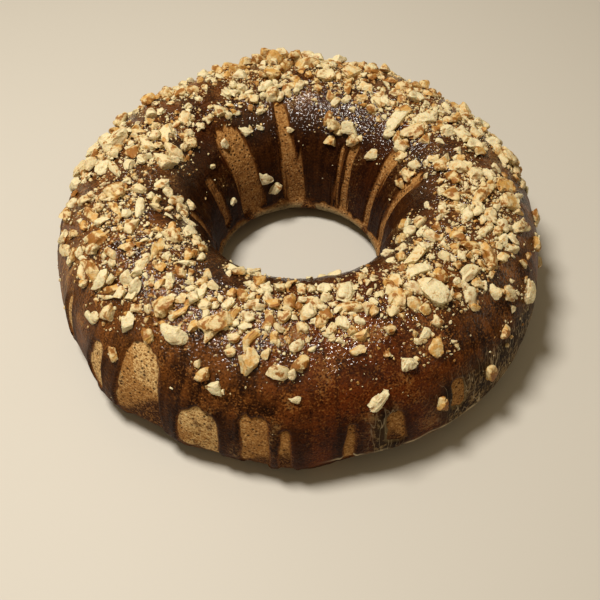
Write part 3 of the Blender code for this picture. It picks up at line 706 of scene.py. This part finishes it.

# %% [markdown]
# ## Where the nuts lie
# The marked nuts are the ones that stand out, listed one by one. The rest follow a rule: largest
# first, each tried at a random spot and kept if nuts are thick there and no other is too near. The
# imported solid has the first of them, drawn in the same order, so those lie where it has them.

# %% The nuts' places
# Angle, way out from the crest, length, width, height, turn, with the distances in millimetres.
MARKED_NUTS = (
    (249, 17, 15, 9.5, 7, 40), (233, 19, 10.5, 8, 6, 80), (258.5, 28, 11, 8.5, 5.5, 100),
    (239.5, 27, 12, 8, 5.5, 20), (233.5, 33, 7, 5, 4, 140), (221, 38, 10, 7, 5, 60),
    (227, 34, 9, 7, 5, 110), (265.5, 31, 9.5, 6.5, 4.5, 10), (270.5, 27, 7.5, 6, 4.5, 70),
    (252.5, 42, 7.5, 6, 4, 150), (269.5, 42, 4.5, 3.6, 2.6, 30), (287, 47, 10.5, 6.5, 5, 35),
    (301, 61, 7.5, 5, 4.5, 95), (295, 35, 7.5, 5.5, 4, 0), (315, 63, 8.5, 6.5, 5, 120),
    (322, 50, 6.5, 5, 4, 45), (335, 50, 10.5, 7.5, 5.5, 30), (328, 38, 8, 6, 4.5, 85),
    (310, 14, 14, 11, 6.5, 120), (349, 47, 7.5, 5.5, 4.5, 60), (117, -53, 9.5, 6, 4, 130),
    (109.5, -62, 8, 6, 4, 50), (146.5, -56, 4, 3.4, 2.6, 0), (61.5, -25, 9, 7, 5.5, 15),
    (57, -30, 8, 6, 4.5, 75), (41.5, -11, 13, 6, 5, 100), (88, 16, 12, 8, 6.5, 25),
    (187, 10, 9.8, 9.8, 5.9, 117), (187, -1, 6.1, 6.0, 4.2, 128), (196, 0, 13.3, 4.5, 3.1, 175),
    (194, 11, 10.7, 3.8, 2.7, 21), (192, 24, 12.0, 5.1, 3.1, 29), (185, 27, 9.8, 5.3, 3.7, 73),
    (191, -18, 10.0, 6.1, 3.7, 156), (199, -21, 5.1, 4.7, 3.3, 13), (215, -8, 7.8, 7.3, 5.1, 86),
    (214, -17, 8.7, 6.2, 4.3, 124), (217, 2, 10.5, 5.7, 4.0, 133), (219, 11, 6.9, 4.9, 2.9, 82),
    (202, 23, 9.6, 8.0, 5.2, 95), (194, 36, 6.0, 4.7, 3.3, 47), (196, 43, 11.3, 6.0, 4.2, 31),
    (209, 32, 10.2, 6.3, 3.8, 2), (207, 37, 10.3, 4.7, 3.7, 148), (214, 30, 11.1, 6.1, 4.6, 102),
    (218, 29, 7.9, 4.0, 2.8, 56), (221, 27, 6.0, 4.9, 3.4, 100), (218, 33, 9.7, 2.2, 2.2, 39),
    (224, 24, 5.1, 4.6, 3.2, 101), (236, 13, 5.9, 4.8, 2.9, 77), (238, 18, 9.1, 3.0, 2.4, 65),
    (230, 3, 5.1, 5.1, 3.6, 41), (224, 7, 5.1, 5.1, 3.1, 68), (228, -2, 6.9, 2.9, 2.6, 46),
    (226, -10, 6.7, 3.3, 2.3, 121), (238, 1, 6.6, 4.1, 2.9, 82), (240, 6, 7.0, 4.5, 3.1, 71),
    (258, 19, 10.2, 5.5, 3.3, 52), (262, 2, 5.9, 5.3, 3.7, 20), (262, 9, 7.6, 4.1, 2.5, 98),
    (266, 8, 5.4, 5.4, 3.8, 4), (256, 10, 5.8, 5.7, 4.0, 13), (256, 3, 6.7, 5.2, 3.1, 72),
    (252, 10, 7.9, 4.1, 2.9, 72), (249, 6, 6.6, 4.5, 3.1, 87), (252, 0, 5.9, 5.9, 3.5, 19),
    (255, -11, 5.7, 5.7, 4.0, 24), (263, -8, 5.1, 5.1, 3.6, 9), (271, -8, 7.3, 4.2, 2.9, 101),
    (279, -7, 5.9, 5.9, 4.1, 169), (275, 1, 8.0, 6.9, 4.1, 8), (276, 10, 6.0, 4.9, 2.9, 84),
    (282, 12, 6.2, 6.2, 4.0, 170), (279, 14, 6.2, 4.5, 2.7, 53), (286, -4, 12.3, 7.6, 4.2, 72),
    (285, 5, 11.5, 6.1, 3.7, 179), (286, 18, 6.7, 6.0, 3.9, 168), (271, 12, 5.3, 5.3, 3.2, 179),
    (351, -4, 8.8, 7.6, 4.6, 65), (353, 9, 17.3, 6.8, 4.4, 152), (359, 22, 11.3, 8.0, 4.8, 117),
    (353, 23, 8.7, 8.0, 5.6, 120), (345, 14, 9.2, 6.7, 4.0, 17), (344, 21, 7.3, 6.7, 4.7, 75),
    (348, 31, 13.3, 6.9, 4.1, 134), (339, 14, 9.2, 4.1, 2.5, 161), (332, 20, 13.5, 5.9, 4.7, 60),
    (328, -6, 7.2, 7.2, 4.3, 133), (332, 4, 7.5, 5.9, 4.1, 107), (331, 10, 9.0, 5.1, 3.6, 113),
    (316, -5, 15.1, 5.8, 3.8, 13), (312, 1, 11.9, 6.3, 3.1, 175), (316, 9, 7.9, 7.0, 3.5, 89),
    (323, 17, 11.4, 6.1, 3.7, 172), (322, 23, 6.7, 5.2, 3.6, 139), (318, 24, 8.4, 7.4, 3.7, 101),
    (306, 7, 8.7, 6.3, 3.8, 148), (14, -24, 10.0, 6.3, 3.8, 10), (34, 1, 13.1, 6.7, 4.7, 78),
    (32, -10, 12.4, 9.5, 5.2, 56), (53, -5, 6.7, 6.7, 4.0, 32), (52, 12, 8.1, 8.0, 5.6, 54),
    (31, 17, 10.0, 6.0, 4.2, 105), (25, 5, 7.6, 7.6, 4.6, 70), (16, 12, 7.9, 7.9, 5.5, 90),
    (5, 0, 8.0, 8.0, 4.8, 99), (10, -6, 7.8, 6.0, 4.2, 98), (2, 7, 7.5, 7.5, 5.2, 95),
    (14, 34, 14.0, 12.0, 7.2, 123), (14, 40, 8.7, 7.3, 5.9, 133), (20, 30, 8.7, 8.0, 5.6, 118),
    (99, 26, 10.5, 9.0, 11.0, 131), (95, 13, 12.7, 5.3, 5.3, 73), (91, 27, 7.8, 6.8, 9.5, 160),
    (86, 23, 11.3, 6.0, 5.4, 114), (101, 5, 9.3, 8.0, 6.4, 135), (111, 20, 9.9, 6.7, 6.0, 130),
    (80, 3, 9.5, 8.7, 6.1, 7), (103, -9, 8.7, 6.8, 5.4, 78), (96, -8, 7.6, 4.7, 3.3, 123),
    (70, -3, 12.0, 3.7, 3.0, 101), (55, -6, 10.0, 6.7, 4.0, 122), (75, -23, 8.1, 4.2, 2.9, 88),
    (110, -17, 5.5, 4.1, 2.9, 36), (112, -10, 5.8, 5.4, 3.8, 165), (163, 20, 13.5, 12.0, 7.8, 108),
    (170, -9, 12.1, 8.7, 5.6, 77), (154, -3, 12.0, 7.9, 4.7, 31), (168, 7, 9.3, 6.1, 4.3, 6),
    (163, 3, 13.1, 5.5, 3.8, 58), (162, -12, 12.5, 5.2, 4.2, 89), (153, -16, 7.2, 6.8, 4.8, 138),
    (144, -4, 9.3, 6.0, 4.2, 41), (148, 13, 7.7, 7.7, 5.4, 104), (168, 42, 13.3, 10.0, 6.0, 52),
    (162, 38, 10.0, 9.3, 5.6, 45), (174, 20, 10.0, 8.0, 4.8, 16), (176, 13, 13.3, 3.8, 3.0, 31),
    (116, 26, 8.0, 6.7, 5.3, 95), (122, -25, 7.5, 4.7, 3.3, 143), (142, -13, 4.7, 4.7, 3.3, 145),
)
SOLID_NUTS = 240
ALL_NUTS = 600
NUT_SEED = 11
NUT_LARGEST = 8.0 * MM
NUT_SMALLEST = 3.4 * MM
NUT_RUN = 230.0
NUT_SPACING = 0.46
LOOSE_SPACING = 0.30
GATHERING = 7.0 * MM
CROWDING_LENGTH = 8.0 * MM
NUT_INNERMOST = -42 * MM
NUT_OUTERMOST = 74 * MM
NUT_BAND_INSIDE = 7 * MM
NUT_FADE_INSIDE = 10 * MM
NUT_SINK = 0.34


def on_even_ring(angle, way_out):
    """A point on the ring before it is made uneven, and its radius."""
    points = OUTSIDE if way_out >= 0 else INSIDE
    target = abs(way_out)
    for (near, r0, z0), (far, r1, z1) in zip(points, points[1:]):
        if target <= far:
            share = (target - near) / (far - near)
            break
    radius, height = r0 + (r1 - r0) * share, z0 + (z1 - z0) * share
    turned = math.radians(angle)
    return (radius * math.cos(turned), radius * math.sin(turned), height), radius


def nut_share(angle, way_out):
    """How thickly nuts lie at a place on the cake, from 0 to 1."""
    backward = ((1 + math.sin(math.radians(angle))) / 2) ** 1.5
    sideways = math.cos(math.radians(angle)) ** 2
    edge = (17 + 15 * backward) * MM
    fade = (6 + 9 * sideways + 8 * backward) * MM
    if way_out > edge:
        return math.exp((edge - way_out) / fade)
    if way_out < -NUT_BAND_INSIDE:
        return math.exp((way_out + NUT_BAND_INSIDE) / NUT_FADE_INSIDE)
    return 1.0


# Loose nuts that lie on others: as above, with how high their undersides lie.
HEAPED_NUTS = (
    (103, 27, 9, 8, 6, 30, 2.5), (95.5, 29, 9, 8, 6, 80, 4), (88, 30, 8.5, 7, 5.5, 10, 2.5),
    (84, 27, 8, 6, 5, 60, 1.5), (107, 28, 9, 7, 5.5, 140, 2), (112, 29, 9, 7, 5, 20, 1.5),
    (99.5, 30, 9, 7.5, 6, 150, 5), (92, 25, 7, 6, 4.5, 100, 3), (116, 30, 8, 6, 5, 75, 1.5),
    (121, 29, 8, 7, 5, 120, 1), (78, 28, 8, 6, 5, 35, 1.5), (163, 24, 9, 7, 5, 60, 3),
    (152, 30, 8, 7, 5, 100, 1.5), (141, 28, 8, 6, 5, 10, 1.5), (171, 30, 9, 7, 5, 150, 2),
    (35, 30, 8, 7, 5, 40, 1.5), (50, 28, 8, 6, 5, 110, 1.5), (63, 27, 8, 6, 5, 70, 1.5),
    (30, -19, 8, 6, 4, 20, 0), (26, -22, 6, 5, 3.5, 90, 0), (35, -17, 7, 5, 3.5, 140, 0),
    (15, -19, 7, 5, 4, 60, 0), (331, -19, 9, 6, 4, 30, 0), (326, -22, 7, 5, 3.5, 100, 0),
    (336, -16, 7, 6, 4, 150, 0), (330, -12, 6, 5, 3.5, 10, 0), (300, 8, 10, 6.5, 4.5, 70, 0),
    (303, 13, 7, 6, 4, 120, 0), (297, 12, 8, 5, 4, 20, 0), (300, 3, 6, 5, 3.5, 45, 0),
    (76, -11, 7, 5, 4, 130, 0), (73, -14, 6, 4, 3, 60, 0), (196, -20, 7, 5, 4, 100, 0),
)


# Where the loose nuts lie thin: angle, half width, way out, half width of that, how many are missing.
THIN_SPOTS = (
    (0, 9, 47, 12, 0.9), (15, 8, 30, 8, 0.4), (60, 12, 20, 9, 0.5), (90, 10, 14, 14, 0.6),
    (105, 8, -10, 8, 0.5), (120, 9, 24, 7, 0.3), (138, 9, 26, 9, 0.6), (180, 10, 38, 24, 0.95),
    (180, 9, -9, 8, 0.9), (180, 9, 12, 12, 0.6), (330, 9, 31, 6, 0.95), (0, 8, 50, 12, 0.8),
    (195, 8, -10, 8, 0.6), (197, 8, 35, 14, 0.6),
    (210, 8, 18, 9, 0.6), (240, 8, 12, 8, 0.6), (240, 8, 42, 12, 0.8), (258, 9, 60, 14, 0.9),
    (272, 12, -16, 9, 0.65), (287, 9, -20, 8, 0.6), (285, 8, 12, 9, 0.3), (346, 9, 40, 10, 0.8),
    (315, 9, 14, 8, 0.3), (150, 9, 30, 9, 0.4), (225, 8, 12, 9, 0.4),
)


def thinned(angle, way):
    """The share of loose nuts that is left at a place."""
    left = 1.0
    for at, wide, out, far, missing in THIN_SPOTS:
        aside, along = turn_between(angle, at) / wide, (way - out * MM) / (far * MM)
        left = left * (1 - missing * np.exp(-aside ** 2 - along ** 2))
    return left


def gathered(gaps_and_lengths):
    """How many larger nuts lie near, from their distances and lengths: 1 is a close crowd."""
    near = sum(
        (length / CROWDING_LENGTH) ** 2 * math.exp(-((gap / GATHERING) ** 2))
        for gap, length in gaps_and_lengths)
    return min(near, 1.0)


def nut_places(count):
    """The nuts, marked ones first: angle, way out, length, width, height, turn, tilt, lift."""
    draw = random.Random(NUT_SEED)
    nuts = []
    for angle, way_out, length, width, height, turn in MARKED_NUTS:
        sizes = (way_out * MM, length * MM, width * MM, height * MM)
        nuts.append((angle, *sizes, turn, 0.0, 0.0))
    centres = [(on_even_ring(nut[0], nut[1])[0], nut[2]) for nut in nuts]
    while len(nuts) < count:
        rank = len(nuts) - len(MARKED_NUTS)
        angle = draw.uniform(0, 360)
        way_out = draw.uniform(NUT_INNERMOST, NUT_OUTERMOST)
        here, radius = on_even_ring(angle, way_out)
        stretch = radius / OUTER_RADIUS
        shrink = math.exp(-rank / NUT_RUN)
        length = (NUT_SMALLEST + (NUT_LARGEST - NUT_SMALLEST) * shrink) * draw.uniform(0.85, 1.15)
        width = length * draw.uniform(0.55, 0.9)
        height = width * draw.uniform(0.6, 0.85)
        turn = draw.uniform(0, 180)
        tilt = draw.uniform(-20, 20)
        chance = nut_share(angle, way_out) * stretch
        spacing = NUT_SPACING
        if len(nuts) >= SOLID_NUTS:
            near = gathered([(math.dist(here, other), size) for other, size in centres[:SOLID_NUTS]])
            chance *= (0.10 + 0.90 * near) * thinned(angle, way_out)
            spacing = LOOSE_SPACING
        if draw.random() > chance:
            continue
        gaps = [math.dist(here, other) / (length + size) for other, size in centres]
        if min(gaps) < spacing:
            continue
        lift = max(0.0, NUT_SPACING - min(gaps)) * 3 * height
        nuts.append((angle, way_out, length, width, height, turn, tilt, lift))
        centres.append((here, length))
    return nuts


nuts = nut_places(ALL_NUTS)
for angle, way_out, length, width, height, turn, lift in HEAPED_NUTS:
    nuts.append((angle, way_out * MM, length * MM, width * MM, height * MM, turn, 0.0, lift * MM))
lengths = [round(1000 * nut[2], 1) for nut in nuts]
print(len(nuts), "nuts of", min(lengths), "to", max(lengths), "mm")

# %% [markdown]
# ## Walnut chunks
# A kernel is wrinkled like a brain and wears a tan skin; a knife leaves flat, pale faces on it. So
# a chunk starts as a lumpy block, gets a few folds, and is then cut by flat planes. The uncut part
# remembers that it has skin. A small set of shapes is enough, as each is turned and stretched.

# %% Make chunk shapes
CUT_EDGE_ANGLE = 34


def block(cuts):
    """A cube with its faces cut into squares, or for no cuts the coarsest of balls."""
    shape = bmesh.new()
    if cuts == 0:
        bmesh.ops.create_icosphere(shape, subdivisions=1, radius=0.5)
        return shape
    bmesh.ops.create_cube(shape, size=1.0)
    bmesh.ops.subdivide_edges(shape, edges=shape.edges, cuts=cuts, use_grid_fill=True)
    return shape


def chunk_shape(name, seed, cuts, planes, fold, curl):
    """One chunk in a unit box: a lumpy block, folded, curled, cut flat and fitted to the box."""
    draw = np.random.default_rng(seed)
    shape = block(cuts)
    points = np.array([corner.co for corner in shape.verts])
    ball = points / np.linalg.norm(points, axis=1, keepdims=True) * 0.5
    points = ball + (points - ball) * draw.uniform(0.0, 0.25)
    lobes = lumps(points + seed * 1.7, 0.38, 41)
    ridges = 1 - 2.4 * np.abs(lumps(points + seed * 2.3, 0.26, 42))
    points = points * (1 + 0.42 * lobes + fold * ridges)[:, None]
    points[:, 1] += curl * (points[:, 0] ** 2 - 0.1)
    skin = np.full(len(points), 1.0)
    for _ in range(planes):
        normal = draw.normal(size=3) * (1, 1, 0.8)
        normal = normal / np.linalg.norm(normal)
        past = points @ normal - draw.uniform(0.22, 0.40)
        cut = past > 0
        points = np.where(cut[:, None], points - 0.9 * past[:, None] * normal, points)
        skin = np.where(cut, 0.0, skin)
        points = points + (cut * 0.035 * lumps(points + seed, 0.12, 43))[:, None] * normal
    low, high = points.min(0), points.max(0)
    points = (points - (low + high) / 2) / (high - low)
    for corner, place in zip(shape.verts, points):
        corner.co = place
    bmesh.ops.recalc_face_normals(shape, faces=shape.faces)
    mesh = bpy.data.meshes.new(name)
    shape.to_mesh(mesh)
    shape.free()
    store(mesh, "skin", skin)
    store(mesh, "hollow", skin * np.clip(-ridges, 0, 1))
    mesh.shade_smooth()
    mesh.set_sharp_from_angle(angle=math.radians(CUT_EDGE_ANGLE))
    return bpy.data.objects.new(name, mesh)


def shape_set(name, count, cuts, seed):
    """A collection of chunk shapes, which stays out of the scene itself."""
    kept = bpy.data.collections.new(name)
    draw = random.Random(seed)
    for number in range(count):
        planes = draw.choice((2, 3, 4, 4, 5))
        curl = draw.choice((0, 0.4, 0.7, -0.9, 1.3))
        fold = draw.uniform(0.06, 0.15)
        kept.objects.link(chunk_shape(f"{name}_{number:02d}", seed + number, cuts, planes, fold, curl))
    print(name, "holds", count, "shapes")
    return kept


# Smaller nuts come in greater numbers, so each set has fewer faces than the one before.
chunk_shapes = shape_set("chunk", 16, 9, 100)
piece_shapes = shape_set("piece", 14, 4, 200)
bit_shapes = shape_set("bit", 12, 2, 300)
crumb_shapes = shape_set("crumb", 6, 0, 400)

# %% [markdown]
# ## Walnut
# A cut kernel is cream with a faint grain and goes golden where it is bruised; its skin runs from
# straw to brown and darkens in the folds. Light goes a little way into it, which softens its shade.

# %% The walnut's finish
def walnut_kernel():
    made, tree, shader = blank_material("walnut_kernel", {
        "Roughness": 0.55, "Specular IOR Level": 0.3, "Subsurface Weight": 0.15,
        "Subsurface Radius": (1.0, 0.6, 0.3), "Subsurface Scale": 1.2 * MM})
    _, field = stored_and_noisy(tree, ("tint", "skin", "hollow"), (
        ("grain", False, 0.9 * MM, 3.0), ("blots", False, 3.4 * MM, 3.0),
        ("folds", False, 2.0 * MM, 2.0)))
    bruised = add(tree, "ShaderNodeMath", {0: field["tint"], 1: 0.24, 2: field["blots"]},
                  operation="MULTIPLY_ADD")
    skinned = add(tree, "ShaderNodeMapRange", {"Value": bruised, "From Min": 0.66, "From Max": 0.73})
    skinned = add(tree, "ShaderNodeMath", {0: skinned, 1: field["skin"]}, operation="MULTIPLY")
    colour = layered(tree, "#e8dcb2", (
        (field["tint"], 0.2, 1.0, 0.8, "#dec388"),
        (field["grain"], 0.54, 0.70, 0.5, "#d2a44e"),
        (bruised, 0.61, 0.77, 0.75, "#cb9132"),
        (skinned, 0.0, 1.0, 0.85, "#8e5518"),
        (field["hollow"], 0.0, 1.0, 0.8, "#9c661c")))
    tree.links.new(colour, shader.inputs["Base Color"])
    relief = add(tree, "ShaderNodeMath", {0: field["folds"], 1: 1.6, 2: field["grain"]},
                 operation="MULTIPLY_ADD")
    bump = add(tree, "ShaderNodeBump", {"Height": relief, "Strength": 0.55, "Distance": 0.6 * MM})
    tree.links.new(bump, shader.inputs["Normal"])
    return made


walnut = walnut_kernel()
print("walnut finish:", len(walnut.node_tree.nodes), "nodes")

# %% [markdown]
# ## Lay the chunks with Geometry Nodes
# Each nut is one point that knows its turn, its size and its tint. A small node tree puts a shape
# on every point and makes real faces of them, so that nothing is left as an instance.

# %% The laying tree
def new_tree(name, inputs):
    """A Geometry Nodes tree with the named inputs, and those inputs' sockets inside it."""
    tree = bpy.data.node_groups.new(name, "GeometryNodeTree")
    for label, kind in (("Geometry", "NodeSocketGeometry"), *inputs):
        tree.interface.new_socket(label, in_out="INPUT", socket_type=kind)
    tree.interface.new_socket("Geometry", in_out="OUTPUT", socket_type="NodeSocketGeometry")
    return tree, add(tree, "NodeGroupInput").node.outputs


def lay_shapes(tree, given, laid_out):
    """The end of both trees: a shape on every point, made real and given its finish."""
    shapes = add(tree, "GeometryNodeCollectionInfo", {
        "Collection": given["Shapes"], "Separate Children": True, "Reset Children": True})
    laid = add(tree, "GeometryNodeInstanceOnPoints", {
        "Instance": shapes, "Pick Instance": True, **laid_out})
    real = add(tree, "GeometryNodeRealizeInstances", {"Geometry": laid})
    finished = add(tree, "GeometryNodeSetMaterial", {"Geometry": real, "Material": given["Finish"]})
    add(tree, "NodeGroupOutput", {0: finished})
    return tree


def laying_tree():
    tree, given = new_tree("lay_nuts", (
        ("Shapes", "NodeSocketCollection"), ("Finish", "NodeSocketMaterial")))
    stored = {name: add(tree, "GeometryNodeInputNamedAttribute", {"Name": name}, data_type=kind)
              for name, kind in (("turned", "FLOAT_VECTOR"), ("size", "FLOAT_VECTOR"), ("shape", "INT"))}
    turn = add(tree, "FunctionNodeEulerToRotation", {0: stored["turned"]})
    return lay_shapes(tree, given, {
        "Points": given["Geometry"], "Instance Index": stored["shape"], "Scale": stored["size"],
        "Rotation": turn})


def grown(name, mesh, tree, values):
    """The plain mesh that a tree makes from a mesh, as an object named for it."""
    seed_object = placed(name + "_seed", mesh)
    modifier = seed_object.modifiers.new(name, "NODES")
    modifier.node_group = tree
    sockets = {item.name: item.identifier for item in tree.interface.items_tree
               if item.in_out == "INPUT"}
    for label, value in values.items():
        modifier[sockets[label]] = value
    seen = seed_object.evaluated_get(bpy.context.evaluated_depsgraph_get())
    made = bpy.data.meshes.new_from_object(seen)
    bpy.data.objects.remove(seed_object)
    triangles = sum(len(face.vertices) - 2 for face in made.polygons)
    print(name, "has", triangles, "triangles")
    return placed(name, made)


# %% Lay the chunks and the smaller pieces
SHAPE_SEED = 5
CHUNKS = 160
NUT_FILL = 1.1


def nut_points(name, chosen, shape_count):
    """A mesh of bare points for the nuts, with what the laying tree needs to know of each."""
    draw = random.Random(SHAPE_SEED)
    angle = np.array([nut[0] for nut in chosen])
    way = np.array([nut[1] for nut in chosen])
    off = off_cake(angle, way)
    around = unit(on_cake(angle + 0.3, way) - on_cake(angle - 0.3, way))
    mesh = bpy.data.meshes.new(name)
    turned, shape, tint = [], [], []
    for nut, out, tangent in zip(chosen, off, around):
        out, tangent = Vector(out), Vector(tangent)
        axes = Matrix((tangent, out.cross(tangent), out)).transposed().to_4x4()
        spin = Matrix.Rotation(math.radians(nut[5]), 4, "Z")
        lean = Matrix.Rotation(math.radians(nut[6]), 4, "Y")
        turned.append((axes @ spin @ lean).to_euler())
        shape.append(draw.randrange(shape_count))
        tint.append(draw.random())
    height = np.array([nut[4] for nut in chosen])
    lift = np.array([nut[7] for nut in chosen])
    places = on_cake(angle, way) + off * ((0.5 - NUT_SINK) * height + lift)[:, None]
    mesh.from_pydata(places.tolist(), [], [])
    store(mesh, "turned", turned)
    store(mesh, "size", NUT_FILL * np.array([nut[2:5] for nut in chosen]))
    store(mesh, "shape", shape)
    store(mesh, "tint", tint)
    return mesh


laying = laying_tree()
walnut_chunks = grown(
    "walnut_chunks", nut_points("chunk_points", nuts[:CHUNKS], len(chunk_shapes.objects)), laying,
    {"Shapes": chunk_shapes, "Finish": walnut})
walnut_pieces = grown(
    "walnut_pieces", nut_points("piece_points", nuts[CHUNKS:], len(piece_shapes.objects)), laying,
    {"Shapes": piece_shapes, "Finish": walnut})

# %% [markdown]
# ## Strew the bits and crumbs
# What falls through the fingers last is too much to place one by one. The second tree strews points
# over a bare copy of the cake's top, as thickly as its "nuts" attribute says, and turns each bit to
# lie on the glaze.

# %% The strewing tree
BIT_SEED = 3
CRUMB_SEED = 8
TINT_SEED = 77


def strewing_tree():
    tree, given = new_tree("strew_nuts", (
        ("Shapes", "NodeSocketCollection"), ("Finish", "NodeSocketMaterial"),
        ("Per Square Metre", "NodeSocketFloat"), ("Spacing", "NodeSocketFloat"),
        ("Smallest", "NodeSocketFloat"), ("Largest", "NodeSocketFloat"), ("Seed", "NodeSocketInt")))
    seed = given["Seed"]
    thick = add(tree, "GeometryNodeInputNamedAttribute", {"Name": "nuts"}, data_type="FLOAT")
    strewn = add(tree, "GeometryNodeDistributePointsOnFaces", {
        "Mesh": given["Geometry"], "Distance Min": given["Spacing"], "Density Factor": thick,
        "Density Max": given["Per Square Metre"], "Seed": seed}, distribute_method="POISSON")
    lean = add(tree, "FunctionNodeRandomValue", {
        0: (-0.5, -0.5, 0.0), 1: (0.5, 0.5, math.tau), "Seed": seed}, data_type="FLOAT_VECTOR")
    turn = add(tree, "FunctionNodeRotateRotation", {
        0: strewn.node.outputs["Rotation"], 1: add(tree, "FunctionNodeEulerToRotation", {0: lean})},
        rotation_space="LOCAL")
    chance = add(tree, "FunctionNodeRandomValue", {2: 0.0, 3: 1.0, "Seed": seed}, 1, data_type="FLOAT")
    mostly_small = add(tree, "ShaderNodeMath", {0: chance, 1: 1.8}, operation="POWER")
    length = add(tree, "ShaderNodeMapRange", {
        "Value": mostly_small, "To Min": given["Smallest"], "To Max": given["Largest"]})
    stretch = add(tree, "FunctionNodeRandomValue", {
        0: (0.8, 0.5, 0.4), 1: (1.2, 0.9, 0.7), "Seed": seed}, data_type="FLOAT_VECTOR")
    size = add(tree, "ShaderNodeVectorMath", {0: stretch, "Scale": length}, operation="SCALE")
    tint = add(tree, "FunctionNodeRandomValue", {2: 0.0, 3: 1.0, "Seed": TINT_SEED}, 1, data_type="FLOAT")
    tinted = add(tree, "GeometryNodeStoreNamedAttribute", {
        "Geometry": strewn, "Name": "tint", "Value": tint}, data_type="FLOAT", domain="POINT")
    return lay_shapes(tree, given, {"Points": tinted, "Rotation": turn, "Scale": size})


# %% Strew them
GROUND_COLUMNS = 240
GROUND_ROWS = np.linspace(-48 * MM, 78 * MM, 84)


def nut_ground(name, lift, sharpness):
    """A bare, open copy of the cake's top, with how thickly nuts lie at each point of it."""
    angle, way = ring_grid(GROUND_COLUMNS, GROUND_ROWS)
    rise, _, _ = glaze_rise(angle, way)
    places = on_cake(angle, way) + off_cake(angle, way) * (rise - GLAZE_THICKNESS + lift)[..., None]
    share = np.vectorize(nut_share)(angle, way)
    near = np.zeros(way.shape)
    for nut in nuts[:SOLID_NUTS]:
        gap = np.linalg.norm(places - on_cake(nut[0], nut[1]), axis=-1)
        near += (nut[2] / CROWDING_LENGTH) ** 2 * np.exp(-((gap / GATHERING) ** 2))
    patchy = 0.8 * np.clip(near, 0, 1) + 0.55 * lumps(places, 9 * MM, 51)
    mesh = grid_mesh(name, places, False)
    store(mesh, "nuts", np.clip(share ** sharpness * patchy, 0, 1) * thinned(angle, way))
    return mesh


strewing = strewing_tree()
walnut_bits = grown("walnut_bits", nut_ground("bit_ground", 0.3 * MM, 1.0), strewing, {
    "Shapes": bit_shapes, "Finish": walnut, "Per Square Metre": 150000.0, "Spacing": 1.1 * MM,
    "Smallest": 1.4 * MM, "Largest": 4.2 * MM, "Seed": BIT_SEED})
walnut_crumbs = grown("walnut_crumbs", nut_ground("crumb_ground", 0.1 * MM, 0.8), strewing, {
    "Shapes": crumb_shapes, "Finish": walnut, "Per Square Metre": 800000.0, "Spacing": 0.6 * MM,
    "Smallest": 0.5 * MM, "Largest": 1.7 * MM, "Seed": CRUMB_SEED})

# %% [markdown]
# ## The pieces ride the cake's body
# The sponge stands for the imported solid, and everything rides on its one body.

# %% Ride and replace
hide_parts("ring_cake")
PIECE_SLOTS = (
    (sponge, "sponge"), (glaze_outside, "glaze"), (glaze_in_hole, "glaze"),
    (walnut_chunks, "walnut"), (walnut_pieces, "walnut"), (walnut_bits, "walnut"),
    (walnut_crumbs, "walnut"))
for piece, slot_name in PIECE_SLOTS:
    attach(piece, "root")
for kept in (chunk_shapes, piece_shapes, bit_shapes, crumb_shapes):
    for shape in list(kept.objects):
        bpy.data.objects.remove(shape)
    bpy.data.collections.remove(kept)

# %% [markdown]
# ## Floor, light and camera
# A pale floor and soft light from above let the gloss show without hard shadows. The camera stands
# where the photographer stood: close, and looking down by about 51 degrees.

# %% Floor
FLOOR_SIZE = 3.0


def pale_floor():
    half = FLOOR_SIZE / 2
    corners = [(-half, -half, 0), (half, -half, 0), (half, half, 0), (-half, half, 0)]
    mesh = bpy.data.meshes.new("floor")
    mesh.from_pydata(corners, [], [(0, 1, 2, 3)])
    made, _, _ = blank_material("pale_floor", {"Base Color": hex_colour("#d2cec4"), "Roughness": 0.6})
    mesh.materials.append(made)
    floor = placed("floor", mesh)


pale_floor()


# %% Light
LAMP_AIM = Vector((0, 0, 0.04))


def soft_light(name, place, size, power, colour):
    light = bpy.data.lights.new(name, "AREA")
    light.shape = "DISK"
    light.size = size
    light.energy = power
    light.color = hex_colour(colour)[:3]
    lamp = placed(name, light)
    lamp.location = place
    lamp.rotation_euler = (LAMP_AIM - Vector(place)).to_track_quat("-Z", "Y").to_euler()


soft_light("key", (-0.27, -0.02, 0.86), 0.24, 7.9, "#fff8ee")
world = bpy.data.worlds.new("studio")
world.use_nodes = True
world.node_tree.nodes["Background"].inputs["Color"].default_value = hex_colour("#f0d8ae")
world.node_tree.nodes["Background"].inputs["Strength"].default_value = 0.26
bpy.context.scene.world = world
bpy.context.scene.view_settings.view_transform = "Standard"

# %% Camera
CAMERA_PLACE = Vector((0.5, -305.3, 352.8)) * MM
CAMERA_AIM = Vector((0.5, -32.0, 16.1)) * MM
CAMERA_ROLL = 0.006
SENSOR_WIDTH = 36.0
PHOTO_WIDTH = 600
FOCAL_PIXELS = 870

eye = bpy.data.cameras.new("camera")
eye.sensor_width = SENSOR_WIDTH
eye.lens = FOCAL_PIXELS * SENSOR_WIDTH / PHOTO_WIDTH
eye.clip_start = 0.01
eye.clip_end = 10
camera = placed("camera", eye)
camera.location = CAMERA_PLACE
look = (CAMERA_AIM - CAMERA_PLACE).to_track_quat("-Z", "Y").to_matrix()
camera.rotation_euler = (look @ Matrix.Rotation(CAMERA_ROLL, 3, "Z")).to_euler()
bpy.context.scene.camera = camera
